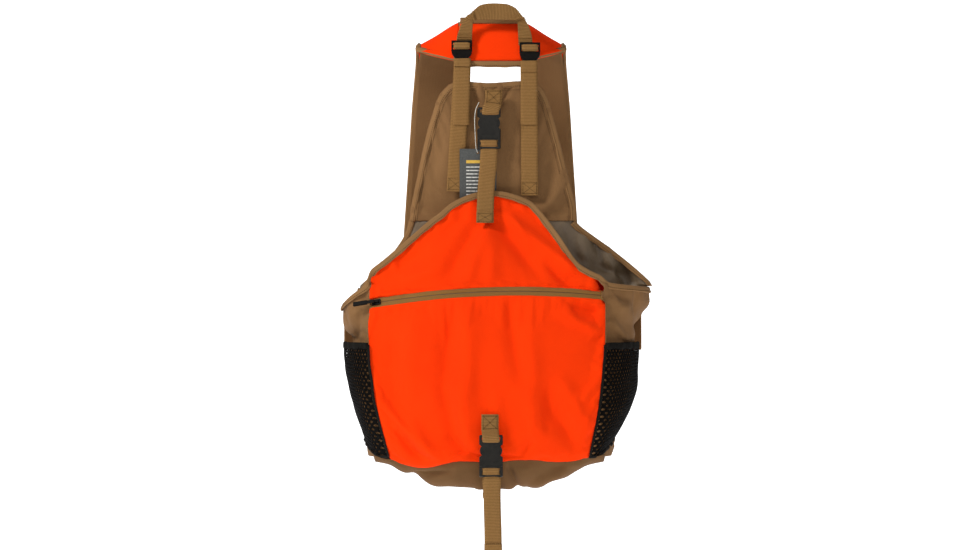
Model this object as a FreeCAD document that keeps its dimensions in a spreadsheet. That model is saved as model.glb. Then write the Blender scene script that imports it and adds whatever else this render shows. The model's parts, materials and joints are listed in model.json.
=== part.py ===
"""Upland field vest with a game bag: yoke, straps, bag, pockets, zipper and side-release buckles.

Frame: +Z up, -Y is the back of the wearer, +X is to the right of someone looking at the back.
The origin is under the crest of the grab handle, where the vest hangs on a hook. Millimetres.
"""
import FreeCAD
import Part
import Sketcher
import math
import os
from FreeCAD import Matrix, Placement, Rotation, Vector

DIMENSIONS = {
    # cloth and webbing
    "fabric_thick": 2.0,
    "pad_thick": 8.0,
    "webbing_width": 25.4,
    "webbing_thick": 1.8,
    "binding_width": 10.0,
    "binding_thick": 3.2,
    # heights of the main lines, measured down from the handle
    "handle_top": 25.4,
    "yoke_bottom": -66.0,
    "back_panel_top": -98.0,
    "liner_top": -306.0,
    "zipper_height": -410.0,
    "pocket_top": -484.0,
    "bag_seam": -662.0,
    "bag_bottom": -705.0,
    "front_top": -405.0,
    "front_bottom": -600.0,
    # plan shape of the bag
    "back_radius": 600.0,
    "pocket_depth": 14.0,
    "front_gap": 60.0,
    "front_depth": 207.0,
    # zipper
    "zip_tape_width": 16.0,
    "zip_gap": 2.6,
    "zip_radius": 622.0,
    "zip_tilt": 29.0,
    "slider_length": 13.0,
    "slider_width": 9.0,
    "slider_plate": 1.4,
    "pull_length": 32.0,
    "pull_width": 5.0,
    # side-release buckle for the webbing
    "buckle_width": 35.0,
    "buckle_thick": 8.5,
    "female_length": 46.0,
    "mouth_height": 36.0,
    "cavity_width": 30.0,
    "cavity_thick": 5.5,
    "notch_radius": 11.0,
    "notch_centre_x": 23.0,
    "notch_centre_z": 22.5,
    "slot_width": 27.0,
    "female_slot_low": 38.3,
    "female_slot_high": 42.6,
    "male_length": 16.0,
    "male_thick": 7.5,
    "plug_height": 6.0,
    "tine_arm": 3.0,
    "tine_thick": 4.6,
    "tine_root_x": 8.5,
    "tine_length": 25.0,
    "shoulder_radius": 9.4,
    "guide_width": 4.0,
    "buckle_travel": 26.0,
    # ladder lock
    "lock_width": 31.0,
    "lock_thick": 4.0,
    "lock_body": 15.0,
    # swing tag, pockets and snaps
    "tag_width": 55.0,
    "tag_height": 92.0,
    "tag_thick": 0.7,
    "tag_hole": 4.0,
    "string_thick": 0.9,
    "pocket_centre": -510.0,
    "pocket_width": 132.0,
    "pocket_height": 150.0,
    "pocket_bulge": 26.0,
    "flap_height": 58.0,
    "flap_thick": 3.0,
    "snap_radius": 6.0,
    "snap_height": 2.4,
}

# Outer contour of the bag at each height: left and right seam, left and right half width, back, side.
SHELL = [
    (-250, 187, 171, 225, 225, -45, 20),
    (-300, 187, 171, 228, 230, -62, 20),
    (-350, 187, 171, 230, 236, -86, 20),
    (-405, 187, 171, 230, 240, -107, 20),
    (-440, 186, 171, 229, 233, -116, 20),
    (-487, 184, 171, 221, 222, -125, 20),
    (-530, 180, 168, 219, 222, -130, 20),
    (-572, 174, 163, 208, 216, -132, 20),
    (-600, 168, 159, 201, 204, -131, 18),
    (-640, 157, 150, 187, 180, -125, 12),
    (-662, 150, 145, 174, 163, -116, 0),
    (-676, 128, 115, 152, 138, -106, -10),
    (-690, 92, 82, 114, 103, -86, -22),
    (-705, 36, 42, 45, 52, -58, -31),
]
# Inner, body-side ellipse at each height: half width, centre, depth.
BODY = [
    (0, 120, 62, 44),
    (-40, 140, 66, 70),
    (-66, 152, 70, 84),
    (-98, 165, 75, 99),
    (-200, 190, 75, 108),
    (-300, 212, 68, 102),
    (-405, 223, 60, 94),
    (-530, 206, 60, 94),
    (-600, 186, 55, 89),
    (-640, 168, 44, 78),
    (-662, 152, 26, 60),
    (-690, 96, 0, 33),
    (-705, 42, -12, 20),
]
# Edge of the bag's mouth, seen from behind, from the left tip over the top to the right tip.
MOUTH = [
    (-232, -433), (-211, -402), (-187, -384), (-162, -366), (-121, -330), (-80, -294),
    (-58, -276), (-30, -263), (0, -259), (30, -262), (62, -276), (78, -294), (104, -330),
    (125, -366), (138, -376), (158, -385), (182, -393), (212, -401), (240, -408),
]
# Left and right edge of the back panel and liner at each height.
BACK_EDGE = [
    (-98, -66, 74), (-114, -82, 83), (-150, -90, 93), (-204, -103, 107), (-258, -114, 120),
    (-276, -118, 125), (-294, -120, 131), (-306, -122, 141),
]
LINER_EDGE = [
    (-306, -122, 141), (-330, -130, 163), (-348, -140, 182), (-366, -156, 200), (-384, -176, 211),
    (-402, -196, 216), (-433, -202, 208), (-530, -190, 192), (-600, -170, 172),
    (-640, -158, 158), (-662, -144, 144), (-690, -90, 90), (-703, -42, 42),
]

doc = FreeCAD.newDocument("field_vest")
sheet = doc.addObject("Spreadsheet::Sheet", "dims")
for row, (alias, value) in enumerate(DIMENSIONS.items(), start=1):
    sheet.set(f"A{row}", alias)
    sheet.set(f"B{row}", str(value))
    sheet.setAlias(f"B{row}", alias)
doc.recompute()
SUBPARTS = []


def dim(alias):
    """A driving dimension from the sheet."""
    return float(sheet.get(alias))


def publish(obj, label):
    """Registers a finished sub-part under the name of its file."""
    obj.Label = label
    SUBPARTS.append(obj)
    return obj


def feature(label, shape, placement=None):
    """A sub-part whose shape is made by Part's functions from the sheet's dimensions."""
    obj = doc.addObject("Part::Feature", label)
    obj.Shape = shape
    if placement is not None:
        obj.Placement = placement
    return publish(obj, label)


def bind(obj, **expressions):
    """Binds an object's sizes to the sheet."""
    for prop, text in expressions.items():
        obj.setExpression(prop.replace("__", "."), text)
    return obj


def box(name, x, y, z, length, width, height):
    """A Part::Box whose corner and sizes are expressions."""
    obj = doc.addObject("Part::Box", name)
    bind(obj, Length=length, Width=width, Height=height)
    bind(obj, Placement__Base__x=x, Placement__Base__y=y, Placement__Base__z=z)
    return obj


def y_cylinder(name, x, y, z, radius, height):
    """A Part::Cylinder along +Y."""
    obj = doc.addObject("Part::Cylinder", name)
    bind(obj, Radius=radius, Height=height)
    obj.Placement = Placement(Vector(0, 0, 0), Rotation(Vector(1, 0, 0), -90))
    bind(obj, Placement__Base__x=x, Placement__Base__y=y, Placement__Base__z=z)
    return obj


def boolean(kind, name, base, *tools):
    """A chain of Part::Cut, Part::Fuse or Part::Common features."""
    result = base
    for number, tool in enumerate(tools):
        step = doc.addObject(f"Part::{kind}", f"{name}_{kind.lower()}{number}")
        step.Base = result
        step.Tool = tool
        result = step
    return result


# ---------------------------------------------------------------- surfaces of the worn shape
def between(table, z):
    """Values of a height table at z, linear between its rows."""
    if z >= table[0][0]:
        return table[0][1:]
    for upper, lower in zip(table, table[1:]):
        if z >= lower[0]:
            share = (upper[0] - z) / (upper[0] - lower[0])
            return tuple(a + (b - a) * share for a, b in zip(upper[1:], lower[1:]))
    return table[-1][1:]


def bezier(p0, p1, p2, s):
    """A point of a quadratic curve."""
    return tuple((1 - s) ** 2 * a + 2 * s * (1 - s) * b + s * s * c for a, b, c in zip(p0, p1, p2))


def shell(place, z, out=0.0):
    """Outer surface. place is 0 at centre back, 1 at the side seam, 2 at the side, 3 at centre front."""
    seam_l, seam_r, wide_l, wide_r, back, side = between(SHELL, z)
    sign = -1.0 if place < 0 else 1.0
    seam, wide = (seam_l, wide_l) if place < 0 else (seam_r, wide_r)
    radius, zone = dim("back_radius"), abs(place)
    if zone <= 1:
        x = zone * seam
        point = (x, back + radius - math.sqrt(radius ** 2 - x ** 2))
        slope = (math.sqrt(radius ** 2 - x ** 2), x)
    else:
        seam_y = back + radius - math.sqrt(radius ** 2 - seam ** 2)
        corner = (wide, seam_y + (wide - seam) * seam / radius)
        front = (dim("front_gap"), dim("front_depth"))
        if zone <= 2:
            curve, s = ((seam, seam_y), corner, (wide, side)), zone - 1
        else:
            curve, s = ((wide, side), (wide, front[1] - 21), front), zone - 2
        point = bezier(*curve, s)
        slope = tuple(
            2 * (1 - s) * (b - a) + 2 * s * (c - b) for a, b, c in zip(*curve)
        )
    length = math.hypot(*slope)
    x = point[0] + out * slope[1] / length
    y = point[1] - out * slope[0] / length
    return Vector(sign * x, y, z)


def body(x, z, out=0.0):
    """Body-side surface at the back, moved out (towards -Y) by out."""
    wide, centre, depth = between(BODY, z)
    x_unit = max(-0.999, min(0.999, x / wide))
    y = centre - depth * math.sqrt(1 - x_unit ** 2)
    normal = Vector(x_unit / wide, -math.sqrt(1 - x_unit ** 2) / depth, 0).normalize()
    return Vector(x, y, z) + normal * out


def mouth_height(x):
    """Height of the bag's mouth edge at x."""
    if x <= MOUTH[0][0]:
        return MOUTH[0][1]
    for (x0, z0), (x1, z1) in zip(MOUTH, MOUTH[1:]):
        if x <= x1:
            return z0 + (z1 - z0) * (x - x0) / (x1 - x0)
    return MOUTH[-1][1]


def steps(start, stop, count):
    """count + 1 evenly spaced values."""
    return [start + (stop - start) * i / count for i in range(count + 1)]


def curve_through(points):
    """A straight or smooth edge through the points."""
    if len(points) == 2:
        return Part.makeLine(*points)
    curve = Part.BSplineCurve()
    curve.interpolate(points)
    return curve.toShape()


def strip(sections):
    """A closed solid through sections, each a pair of lists: points of one face, points of the other."""
    pairs = [(curve_through(face), curve_through(back)) for face, back in sections]
    faces = [Part.makeRuledSurface(*pairs[0]), Part.makeRuledSurface(*pairs[-1])]
    for i in range(len(sections) - 1):
        for skin in (0, 1):
            faces.append(Part.makeRuledSurface(pairs[i][skin], pairs[i + 1][skin]))
        for end in (0, -1):
            rims = [Part.makeLine(face[end], back[end]) for face, back in sections[i:i + 2]]
            faces.append(Part.makeRuledSurface(*rims))
    skin = Part.makeShell(faces)
    skin.sewShape()
    solid = Part.makeSolid(skin)
    if solid.Volume < 0:
        solid.reverse()
    return solid


def rows(place_at, heights, span, thick, count=8, out=0.0):
    """Sections at each height across a span of the surface."""
    sections = []
    for z in heights:
        low, high = span(z)
        across = steps(low, high, count)
        sections.append(
            ([place_at(u, z, out + thick) for u in across], [place_at(u, z, out) for u in across])
        )
    return sections


def columns(place_at, across, top, bottom, thick, count=5, out=0.0):
    """Sections at each place across the surface, from bottom to top."""
    sections = []
    for u in across:
        heights = steps(bottom(u), top(u), count)
        outs = [out(u, z) if callable(out) else out for z in heights]
        sections.append(
            (
                [place_at(u, z, o + thick) for z, o in zip(heights, outs)],
                [place_at(u, z, o) for z, o in zip(heights, outs)],
            )
        )
    return sections


# ---------------------------------------------------------------- zipper line
ZIP_LEAN = 0.03


def zip_apex():
    """The middle of the zipper, on the bag's outer surface."""
    height = dim("zipper_height")
    return Vector(0, between(SHELL, height)[4], height)


def zip_frame():
    """Axes of the zipper's plane: along X, towards the body, and the turning axis."""
    tilt = math.radians(dim("zip_tilt"))
    along = Vector(1, 0, ZIP_LEAN).normalize()
    inward = Vector(0, math.cos(tilt), -math.sin(tilt))
    axis = along.cross(inward).normalize()
    return along, axis.cross(along), axis


def zip_point(x, out=0.0, up=0.0):
    """A point of the zipper line, moved out of the bag and up across the tape."""
    along, inward, axis = zip_frame()
    radius = dim("zip_radius")
    angle = math.asin(x / radius)
    centre = zip_apex() + inward * radius
    arm = along * math.sin(angle) - inward * math.cos(angle)
    flat = arm * (radius + out)
    return centre + flat + axis * up


# ---------------------------------------------------------------- cloth panels
def make_yoke():
    """Padded yoke: a panel behind the neck, and an arm over each shoulder and down the chest."""
    thick = dim("pad_thick")
    neck = 42.0
    heights = steps(dim("yoke_bottom"), -6.0, 6)
    panel = strip(rows(body, heights, lambda z: (-neck, neck), thick, 6, -thick / 2))
    feature("yoke_panel", panel)
    # Side profile of an arm: middle line from the back, over the shoulder, down the chest.
    line = [(-4, -64), (10, -34), (34, -8), (64, -2), (98, -22), (130, -64), (158, -130),
            (178, -210), (190, -300), (198, -404)]
    for side, name in ((-1, "left"), (1, "right")):
        inner, outer = [], []
        for i, (y, z) in enumerate(line):
            before, after = line[max(i - 1, 0)], line[min(i + 1, len(line) - 1)]
            dy, dz = after[0] - before[0], after[1] - before[1]
            length = math.hypot(dy, dz)
            inner.append((y - dz / length * thick / 2, z + dy / length * thick / 2))
            outer.append((y + dz / length * thick / 2, z - dy / length * thick / 2))
        sections = []
        for (iy, iz), (oy, oz), (_, z) in zip(inner, outer, line):
            down = min(1.0, max(0.0, (-z - 8) / 390.0))
            near = neck + 0.8 + 34 * down
            wide = 70 - 8 * down
            drop = 0.55 * wide * max(0.0, 1 - 3.2 * down)
            sag = -12.0 * down
            sections.append(
                (
                    [Vector(side * near, iy, iz), Vector(side * (near + wide), iy + sag, iz - drop)],
                    [Vector(side * near, oy, oz), Vector(side * (near + wide), oy + sag, oz - drop)],
                )
            )
        feature(f"shoulder_strap_{name}", strip(sections))


def make_handle():
    """Webbing grab handle standing over the back of the neck, sewn down at both ends."""
    width, thick = dim("webbing_width"), dim("webbing_thick")
    top = dim("handle_top")
    sections = []
    for x in steps(-52, 52, 12):
        share = abs(x) / 52.0
        y = -9.0 + 5.0 * share ** 2
        rise = top - 46.0 * share ** 3
        sections.append(
            (
                [Vector(x, y, rise), Vector(x, y, rise - width)],
                [Vector(x, y + thick, rise), Vector(x, y + thick, rise - width)],
            )
        )
    feature("grab_handle", strip(sections))


def make_back():
    """Back panel, its edge binding, the bag's coated liner below it."""
    thick = dim("fabric_thick")
    top, low = dim("back_panel_top"), dim("liner_top")
    edge = lambda z: between(BACK_EDGE, z)
    panel = strip(rows(body, steps(top, low, 8), edge, thick, 8))
    feature("back_panel", panel)
    wide, proud = dim("binding_width"), dim("binding_thick")
    strips = []
    for side in (0, 1):
        span = lambda z: sorted((edge(z)[side], edge(z)[side] + (wide if side == 0 else -wide)))
        strips.append(strip(rows(body, steps(top - 0.5, low, 8), span, proud - thick, 2, thick + 0.2)))
    inner = lambda z: (edge(top - wide)[0] + wide + 1, edge(top - wide)[1] - wide - 1)
    strips.append(strip(rows(body, [top - wide, top], inner, proud - thick, 4, thick + 0.2)))
    feature("back_panel_binding", Part.makeCompound(strips))
    liner = lambda z: between(LINER_EDGE, z)
    heights = [low - 0.5, -330, -366, -402, -450, -530, -600, -640, -662, -690, -702]
    feature("bag_liner", strip(rows(body, heights, liner, thick, 10)))


def ease(share):
    """Smooth step from 0 to 1."""
    share = max(0.0, min(1.0, share))
    return share * share * (3 - 2 * share)


def seam_place(side, offset):
    """Place value a little off the side seam."""
    return side * (1.0 + offset)


def zip_height(x):
    """Height of the zipper line at x."""
    return zip_point(x).z


def make_bag():
    """Orange outer panels, side gussets, mesh pockets, bottom and mouth binding."""
    thick = dim("fabric_thick")
    half_tape = dim("zip_tape_width") / 2
    wide, proud = dim("binding_width"), dim("binding_thick")
    seam = between(SHELL, dim("zipper_height"))
    x_of = lambda place: place * (seam[0] if place < 0 else seam[1])
    across = steps(-0.995, 0.995, 16)
    top = lambda place: mouth_height(x_of(place)) - wide - 0.4
    feature("bag_panel_upper", strip(columns(
        shell, across, top, lambda p: zip_height(x_of(p)) + half_tape + 0.5, thick, 4, -thick)))
    feature("bag_panel_lower", strip(columns(
        shell, across, lambda p: zip_height(x_of(p)) - half_tape - 0.5,
        lambda p: dim("bag_seam") + 0.5, thick, 8, -thick)))
    rim = lambda place: mouth_height(x_of(place))
    feature("bag_mouth_binding", strip(columns(
        shell, across, rim, lambda p: rim(p) - wide, proud, 2, -proud)))
    mesh_low = dim("bag_seam") + 6
    behind = lambda z: thick + 0.6 + dim("pocket_depth") * ease((z - dim("bag_seam")) / 110.0)
    inset = lambda place, z: -thick - behind(z) * ease((dim("pocket_top") + 90 - z) / 100.0)
    hems = []
    for side, name in ((-1, "left"), (1, "right")):
        places = steps(seam_place(side, 0.01), side * 2.38, 12)
        tip = MOUTH[0][1] if side < 0 else MOUTH[-1][1]
        start = rim(side)
        upper = lambda p: start + (tip - start) * min(1.0, abs(p) - 1.0)
        lower = lambda p: dim("bag_seam") + 3 + 56 * max(0.0, abs(p) - 1.3)
        feature(f"side_panel_{name}", strip(columns(shell, places, upper, lower, thick, 8, inset)))
        places = steps(seam_place(side, 0.04), side * 2.06, 8)
        base = lambda p: mesh_low + 40 * max(0.0, abs(p) - 1.4)
        cap = lambda p: dim("pocket_top") - 12
        feature(f"mesh_pocket_{name}", strip(columns(shell, places, cap, base, thick, 5, -thick)))
        hems.append(strip(columns(
            shell, places, lambda p: dim("pocket_top"), lambda p: dim("pocket_top") - 11.5,
            proud, 2, -proud)))
    feature("pocket_elastics", Part.makeCompound(hems))
    heights = [dim("bag_seam") - 1, -668, -676, -683, -690, -697, dim("bag_bottom")]
    feature("bag_bottom", strip(rows(shell, heights, lambda z: (-1.96, 1.96), thick, 14, -thick)))


def make_zipper():
    """Tape halves, coil halves, slider and pull. The slider turns about the arc's centre."""
    half, gap, thick = dim("zip_tape_width") / 2, dim("zip_gap") / 2, 1.0
    xs = steps(-180, 164, 14)
    for label, first, last, low, high in (
        ("zipper_tape", gap, half, -1.6, -1.6 + thick),
        ("zipper_coil", gap, gap + 2.2, -3.4, -1.8),
    ):
        solids = []
        for side in (-1, 1):
            sections = []
            for x in xs:
                sections.append(
                    (
                        [zip_point(x, high, side * first), zip_point(x, high, side * last)],
                        [zip_point(x, low, side * first), zip_point(x, low, side * last)],
                    )
                )
            solids.append(strip(sections))
        feature(label, Part.makeCompound(solids))


def zip_placement(x):
    """Frame on the zipper line: local x along it, local y into the bag, local z up the tape."""
    ahead, behind = zip_point(x + 1), zip_point(x - 1)
    along = (ahead - behind).normalize()
    axis = zip_frame()[2]
    inward = axis.cross(along)
    origin = zip_point(x)
    return Placement(Matrix(
        along.x, inward.x, axis.x, origin.x,
        along.y, inward.y, axis.y, origin.y,
        along.z, inward.z, axis.z, origin.z,
        0, 0, 0, 1))


SLIDER_X = -171.0


def make_slider():
    """Zipper slider: plates over and under the tape, a post between them and a bail for the pull."""
    half_l, half_w = "-dims.slider_length / 2", "-dims.slider_width / 2"
    over = box("slider_over", half_l, "-dims.slider_plate", half_w,
               "dims.slider_length", "dims.slider_plate", "dims.slider_width")
    under = box("slider_under", half_l, "4.2", half_w,
                "dims.slider_length", "dims.slider_plate", "dims.slider_width")
    post = box("slider_post", "-1.5", "-0.2", "-0.9", "3", "4.6", "1.8")
    bail = box("slider_bail", "-5", "-dims.slider_plate - 2.6", "-1.2", "9", "2.8", "2.4")
    eye = box("slider_eye", "-3.6", "-dims.slider_plate - 1.5", "-2", "4.6", "1.5", "4")
    body_shape = boolean("Fuse", "slider", over, under, post, bail)
    slider = boolean("Cut", "slider_eye", body_shape, eye)
    doc.recompute()
    placed("zipper_slider", slider, zip_placement(SLIDER_X))
    link = box("pull_link",
               "-dims.pull_length / 3 - 2.4", "-dims.slider_plate - 4.6", "-dims.pull_width / 2",
               "dims.pull_length / 3", "1.6", "dims.pull_width")
    grip = box("pull_grip", "-dims.pull_length - 2.4", "-dims.slider_plate - 5.4",
               "-dims.pull_width / 2 - 0.5", "dims.pull_length * 2 / 3", "3.2", "dims.pull_width + 1")
    pull = boolean("Fuse", "pull", link, grip)
    doc.recompute()
    placed("zipper_pull", pull, zip_placement(SLIDER_X))


def placed(label, source, placement):
    """A sub-part that is the source in a place of its own."""
    obj = doc.addObject("Part::Compound", label)
    obj.Links = [source]
    obj.Placement = placement
    doc.recompute()
    return publish(obj, label)


# ---------------------------------------------------------------- hardware
def buckle_female():
    """Receptacle of a side-release buckle. Local z runs from the mouth to the webbing bar."""
    block = box("female_block", "-dims.buckle_width / 2", "-dims.buckle_thick / 2", "0",
                "dims.buckle_width", "dims.buckle_thick", "dims.female_length")
    round_block = doc.addObject("Part::Fillet", "female_round")
    round_block.Base = block
    doc.recompute()
    edges = []
    for number, edge in enumerate(block.Shape.Edges, start=1):
        along = edge.tangentAt(edge.FirstParameter)
        upper = min(v.Z for v in edge.Vertexes) > 1.0
        if abs(along.z) > 0.9 or upper:
            edges.append((number, 2.4, 2.4))
    round_block.Edges = edges
    cavity = box("female_cavity", "-dims.cavity_width / 2", "-dims.cavity_thick / 2", "-1",
                 "dims.cavity_width", "dims.cavity_thick", "dims.mouth_height + 1")
    notches = [
        y_cylinder(f"female_notch_{name}", f"{sign}dims.notch_centre_x", "-10", "dims.notch_centre_z",
                   "dims.notch_radius", "20")
        for sign, name in (("-", "left"), ("", "right"))
    ]
    slot = box("female_slot", "-dims.slot_width / 2", "-10", "dims.female_slot_low",
               "dims.slot_width", "20", "dims.female_slot_high - dims.female_slot_low")
    groove = box("female_groove", "-dims.buckle_width / 2 + 7", "-dims.buckle_thick / 2 - 1", "5",
                 "dims.buckle_width - 14", "1.5", "2")
    return boolean("Cut", "female", round_block, cavity, *notches, slot, groove)


def buckle_male():
    """Plug half: ladder frame for the webbing, plug block and centre guide."""
    frame_block = box("male_block",
                      "-dims.buckle_width / 2", "-dims.male_thick / 2", "-dims.male_length - 0.3",
                      "dims.buckle_width", "dims.male_thick", "dims.male_length")
    round_block = doc.addObject("Part::Fillet", "male_round")
    round_block.Base = frame_block
    doc.recompute()
    edges = []
    for number, edge in enumerate(frame_block.Shape.Edges, start=1):
        along = edge.tangentAt(edge.FirstParameter)
        if abs(along.z) > 0.9 or max(v.Z for v in edge.Vertexes) < -dim("male_length"):
            edges.append((number, 2.2, 2.2))
    round_block.Edges = edges
    slots = [
        box(f"male_slot_{i}", "-dims.slot_width / 2", "-10", z, "dims.slot_width", "20", "3.4")
        for i, z in enumerate(("-6.2", "-13.4"))
    ]
    ladder = boolean("Cut", "male_ladder", round_block, *slots)
    plug = box("male_plug", "-dims.cavity_width / 2 + 0.5", "-dims.tine_thick / 2", "-1",
               "dims.cavity_width - 1", "dims.tine_thick", "dims.plug_height + 1")
    guide = box("male_guide", "-dims.guide_width / 2", "-dims.tine_thick / 2", "0",
                "dims.guide_width", "dims.tine_thick", "dims.mouth_height - 9")
    return boolean("Fuse", "male", ladder, plug, guide)


def buckle_tine(side):
    """One spring tine with its rounded shoulder, which shows in the notch."""
    sign = "-" if side < 0 else ""
    corner = "-dims.tine_root_x - dims.tine_arm" if side < 0 else "dims.tine_root_x"
    arm = box(f"tine_arm_{side}", corner, "-dims.tine_thick / 2", "dims.plug_height + 0.6",
              "dims.tine_arm", "dims.tine_thick", "dims.tine_length")
    lobe = y_cylinder(f"tine_lobe_{side}", f"{sign}7.2", "-dims.tine_thick / 2", "dims.notch_centre_z",
                      "dims.shoulder_radius", "dims.tine_thick")
    window = box(f"tine_window_{side}", "-16.6" if side < 0 else "dims.tine_root_x",
                 "-dims.tine_thick", "14.5", "16.6 - dims.tine_root_x", "2 * dims.tine_thick", "16.4")
    shoulder = boolean("Common", f"tine_shoulder_{side}", lobe, window)
    return boolean("Fuse", f"tine_{side}", arm, shoulder)


def make_buckles():
    """Four identical buckles: two at the back, one at the waist, one at the chest."""
    female, male = buckle_female(), buckle_male()
    tines = {"left": buckle_tine(-1), "right": buckle_tine(1)}
    doc.recompute()
    for name, placement in BUCKLES.items():
        placed(f"{name}_buckle_female", female, placement)
        placed(f"{name}_buckle_male", male, placement)
        for side, tine in tines.items():
            placed(f"{name}_buckle_tine_{side}", tine, placement)


def facing_back(x, y, z):
    """Buckle standing upright on the back, female half up."""
    return Placement(Vector(x, y, z), Rotation())


def facing_front(x, y, z):
    """Buckle lying across the front, female half on the left, outer face forward."""
    return Placement(Matrix(0, 0, -1, x, 0, -1, 0, y, -1, 0, 0, z, 0, 0, 0, 1))


BUCKLES = {
    "upper": facing_back(-3, -46.5, -181),
    "lower": facing_back(0, -142, -668),
    "waist": facing_front(8, 216, -450),
    "sternum": facing_front(8, 184, -190),
}


def make_ladder_locks():
    """Ladder locks on the shoulder webbing, made as bodies: pad of the outline, then two slots."""
    for name, x, z in (("left", -44.0, -34.0), ("right", 58.5, -37.0)):
        part = doc.addObject("PartDesign::Body", f"ladder_body_{name}")
        plane = next(f for f in part.Origin.OriginFeatures if f.Role == "XZ_Plane")
        outline = part.newObject("Sketcher::SketchObject", f"ladder_outline_{name}")
        outline.AttachmentSupport = [(plane, "")]
        outline.MapMode = "FlatFace"
        half, deep = dim("lock_width") / 2, dim("lock_body")
        outline.addGeometry(Part.LineSegment(Vector(-half, 0, 0), Vector(half, 0, 0)))
        outline.addGeometry(Part.LineSegment(Vector(half, 0, 0), Vector(half, -deep, 0)))
        outline.addGeometry(Part.ArcOfCircle(
            Part.Circle(Vector(0, -deep, 0), Vector(0, 0, 1), half), math.pi, 2 * math.pi))
        outline.addGeometry(Part.LineSegment(Vector(-half, -deep, 0), Vector(-half, 0, 0)))
        constrain_outline(outline)
        pad = part.newObject("PartDesign::Pad", f"ladder_pad_{name}")
        pad.Profile = outline
        bind(pad, Length="dims.lock_thick")
        doc.recompute()
        before = pad.Shape.Volume
        slots = part.newObject("Sketcher::SketchObject", f"ladder_slots_{name}")
        slots.AttachmentSupport = [(plane, "")]
        slots.MapMode = "FlatFace"
        for low, high in ((-6.6, -3.0), (-14.2, -10.4)):
            corners = [Vector(-12.9, low, 0), Vector(12.9, low, 0),
                       Vector(12.9, high, 0), Vector(-12.9, high, 0)]
            for a, b in zip(corners, corners[1:] + corners[:1]):
                slots.addGeometry(Part.LineSegment(a, b))
        pocket = part.newObject("PartDesign::Pocket", f"ladder_cut_{name}")
        pocket.Profile = slots
        pocket.Type = 1
        pocket.Midplane = True
        doc.recompute()
        if pocket.Shape.Volume > before - 100:
            raise RuntimeError("the ladder lock's slots cut nothing")
        y = body(x, z).y - 12.0
        part.Placement = Placement(Vector(x, y, z), Rotation(Vector(1, 0, 0), LOCK_LEAN))
        publish(part, f"ladder_lock_{name}")


LOCK_LEAN = -14.0


def constrain_outline(outline):
    """Ties the outline's corners together and its width and depth to the sheet."""
    for first, second in ((0, 1), (1, 2), (3, 0)):
        ends = {(0, 1): (2, 1), (1, 2): (2, 2), (3, 0): (2, 1)}[(first, second)]
        outline.addConstraint(Sketcher.Constraint("Coincident", first, ends[0], second, ends[1]))
    outline.addConstraint(Sketcher.Constraint("Coincident", 2, 1, 3, 1))
    width = outline.addConstraint(Sketcher.Constraint("DistanceX", 0, 1, 0, 2, dim("lock_width")))
    outline.setExpression(f"Constraints[{width}]", "dims.lock_width")


# ---------------------------------------------------------------- webbing
def ribbon(points, across, thick_dir, thick):
    """A flat strap through points; across is half its width as a vector."""
    sections = []
    for point in points:
        near, far = point - across, point + across
        sections.append(([near, far], [near + thick_dir * thick, far + thick_dir * thick]))
    return strip(sections)


def bent_ribbon(points, across, thick):
    """A flat strap that turns a corner: each section stands square to the bend."""
    runs = [(b - a).normalize() for a, b in zip(points, points[1:])]
    sections = []
    for i, point in enumerate(points):
        before, after = runs[max(i - 1, 0)], runs[min(i, len(runs) - 1)]
        inward = across.cross(before + after).normalize() * thick / math.cos(before.getAngle(after) / 2)
        near, far = point - across, point + across
        sections.append(([near, far], [near + inward, far + inward]))
    return strip(sections)


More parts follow.
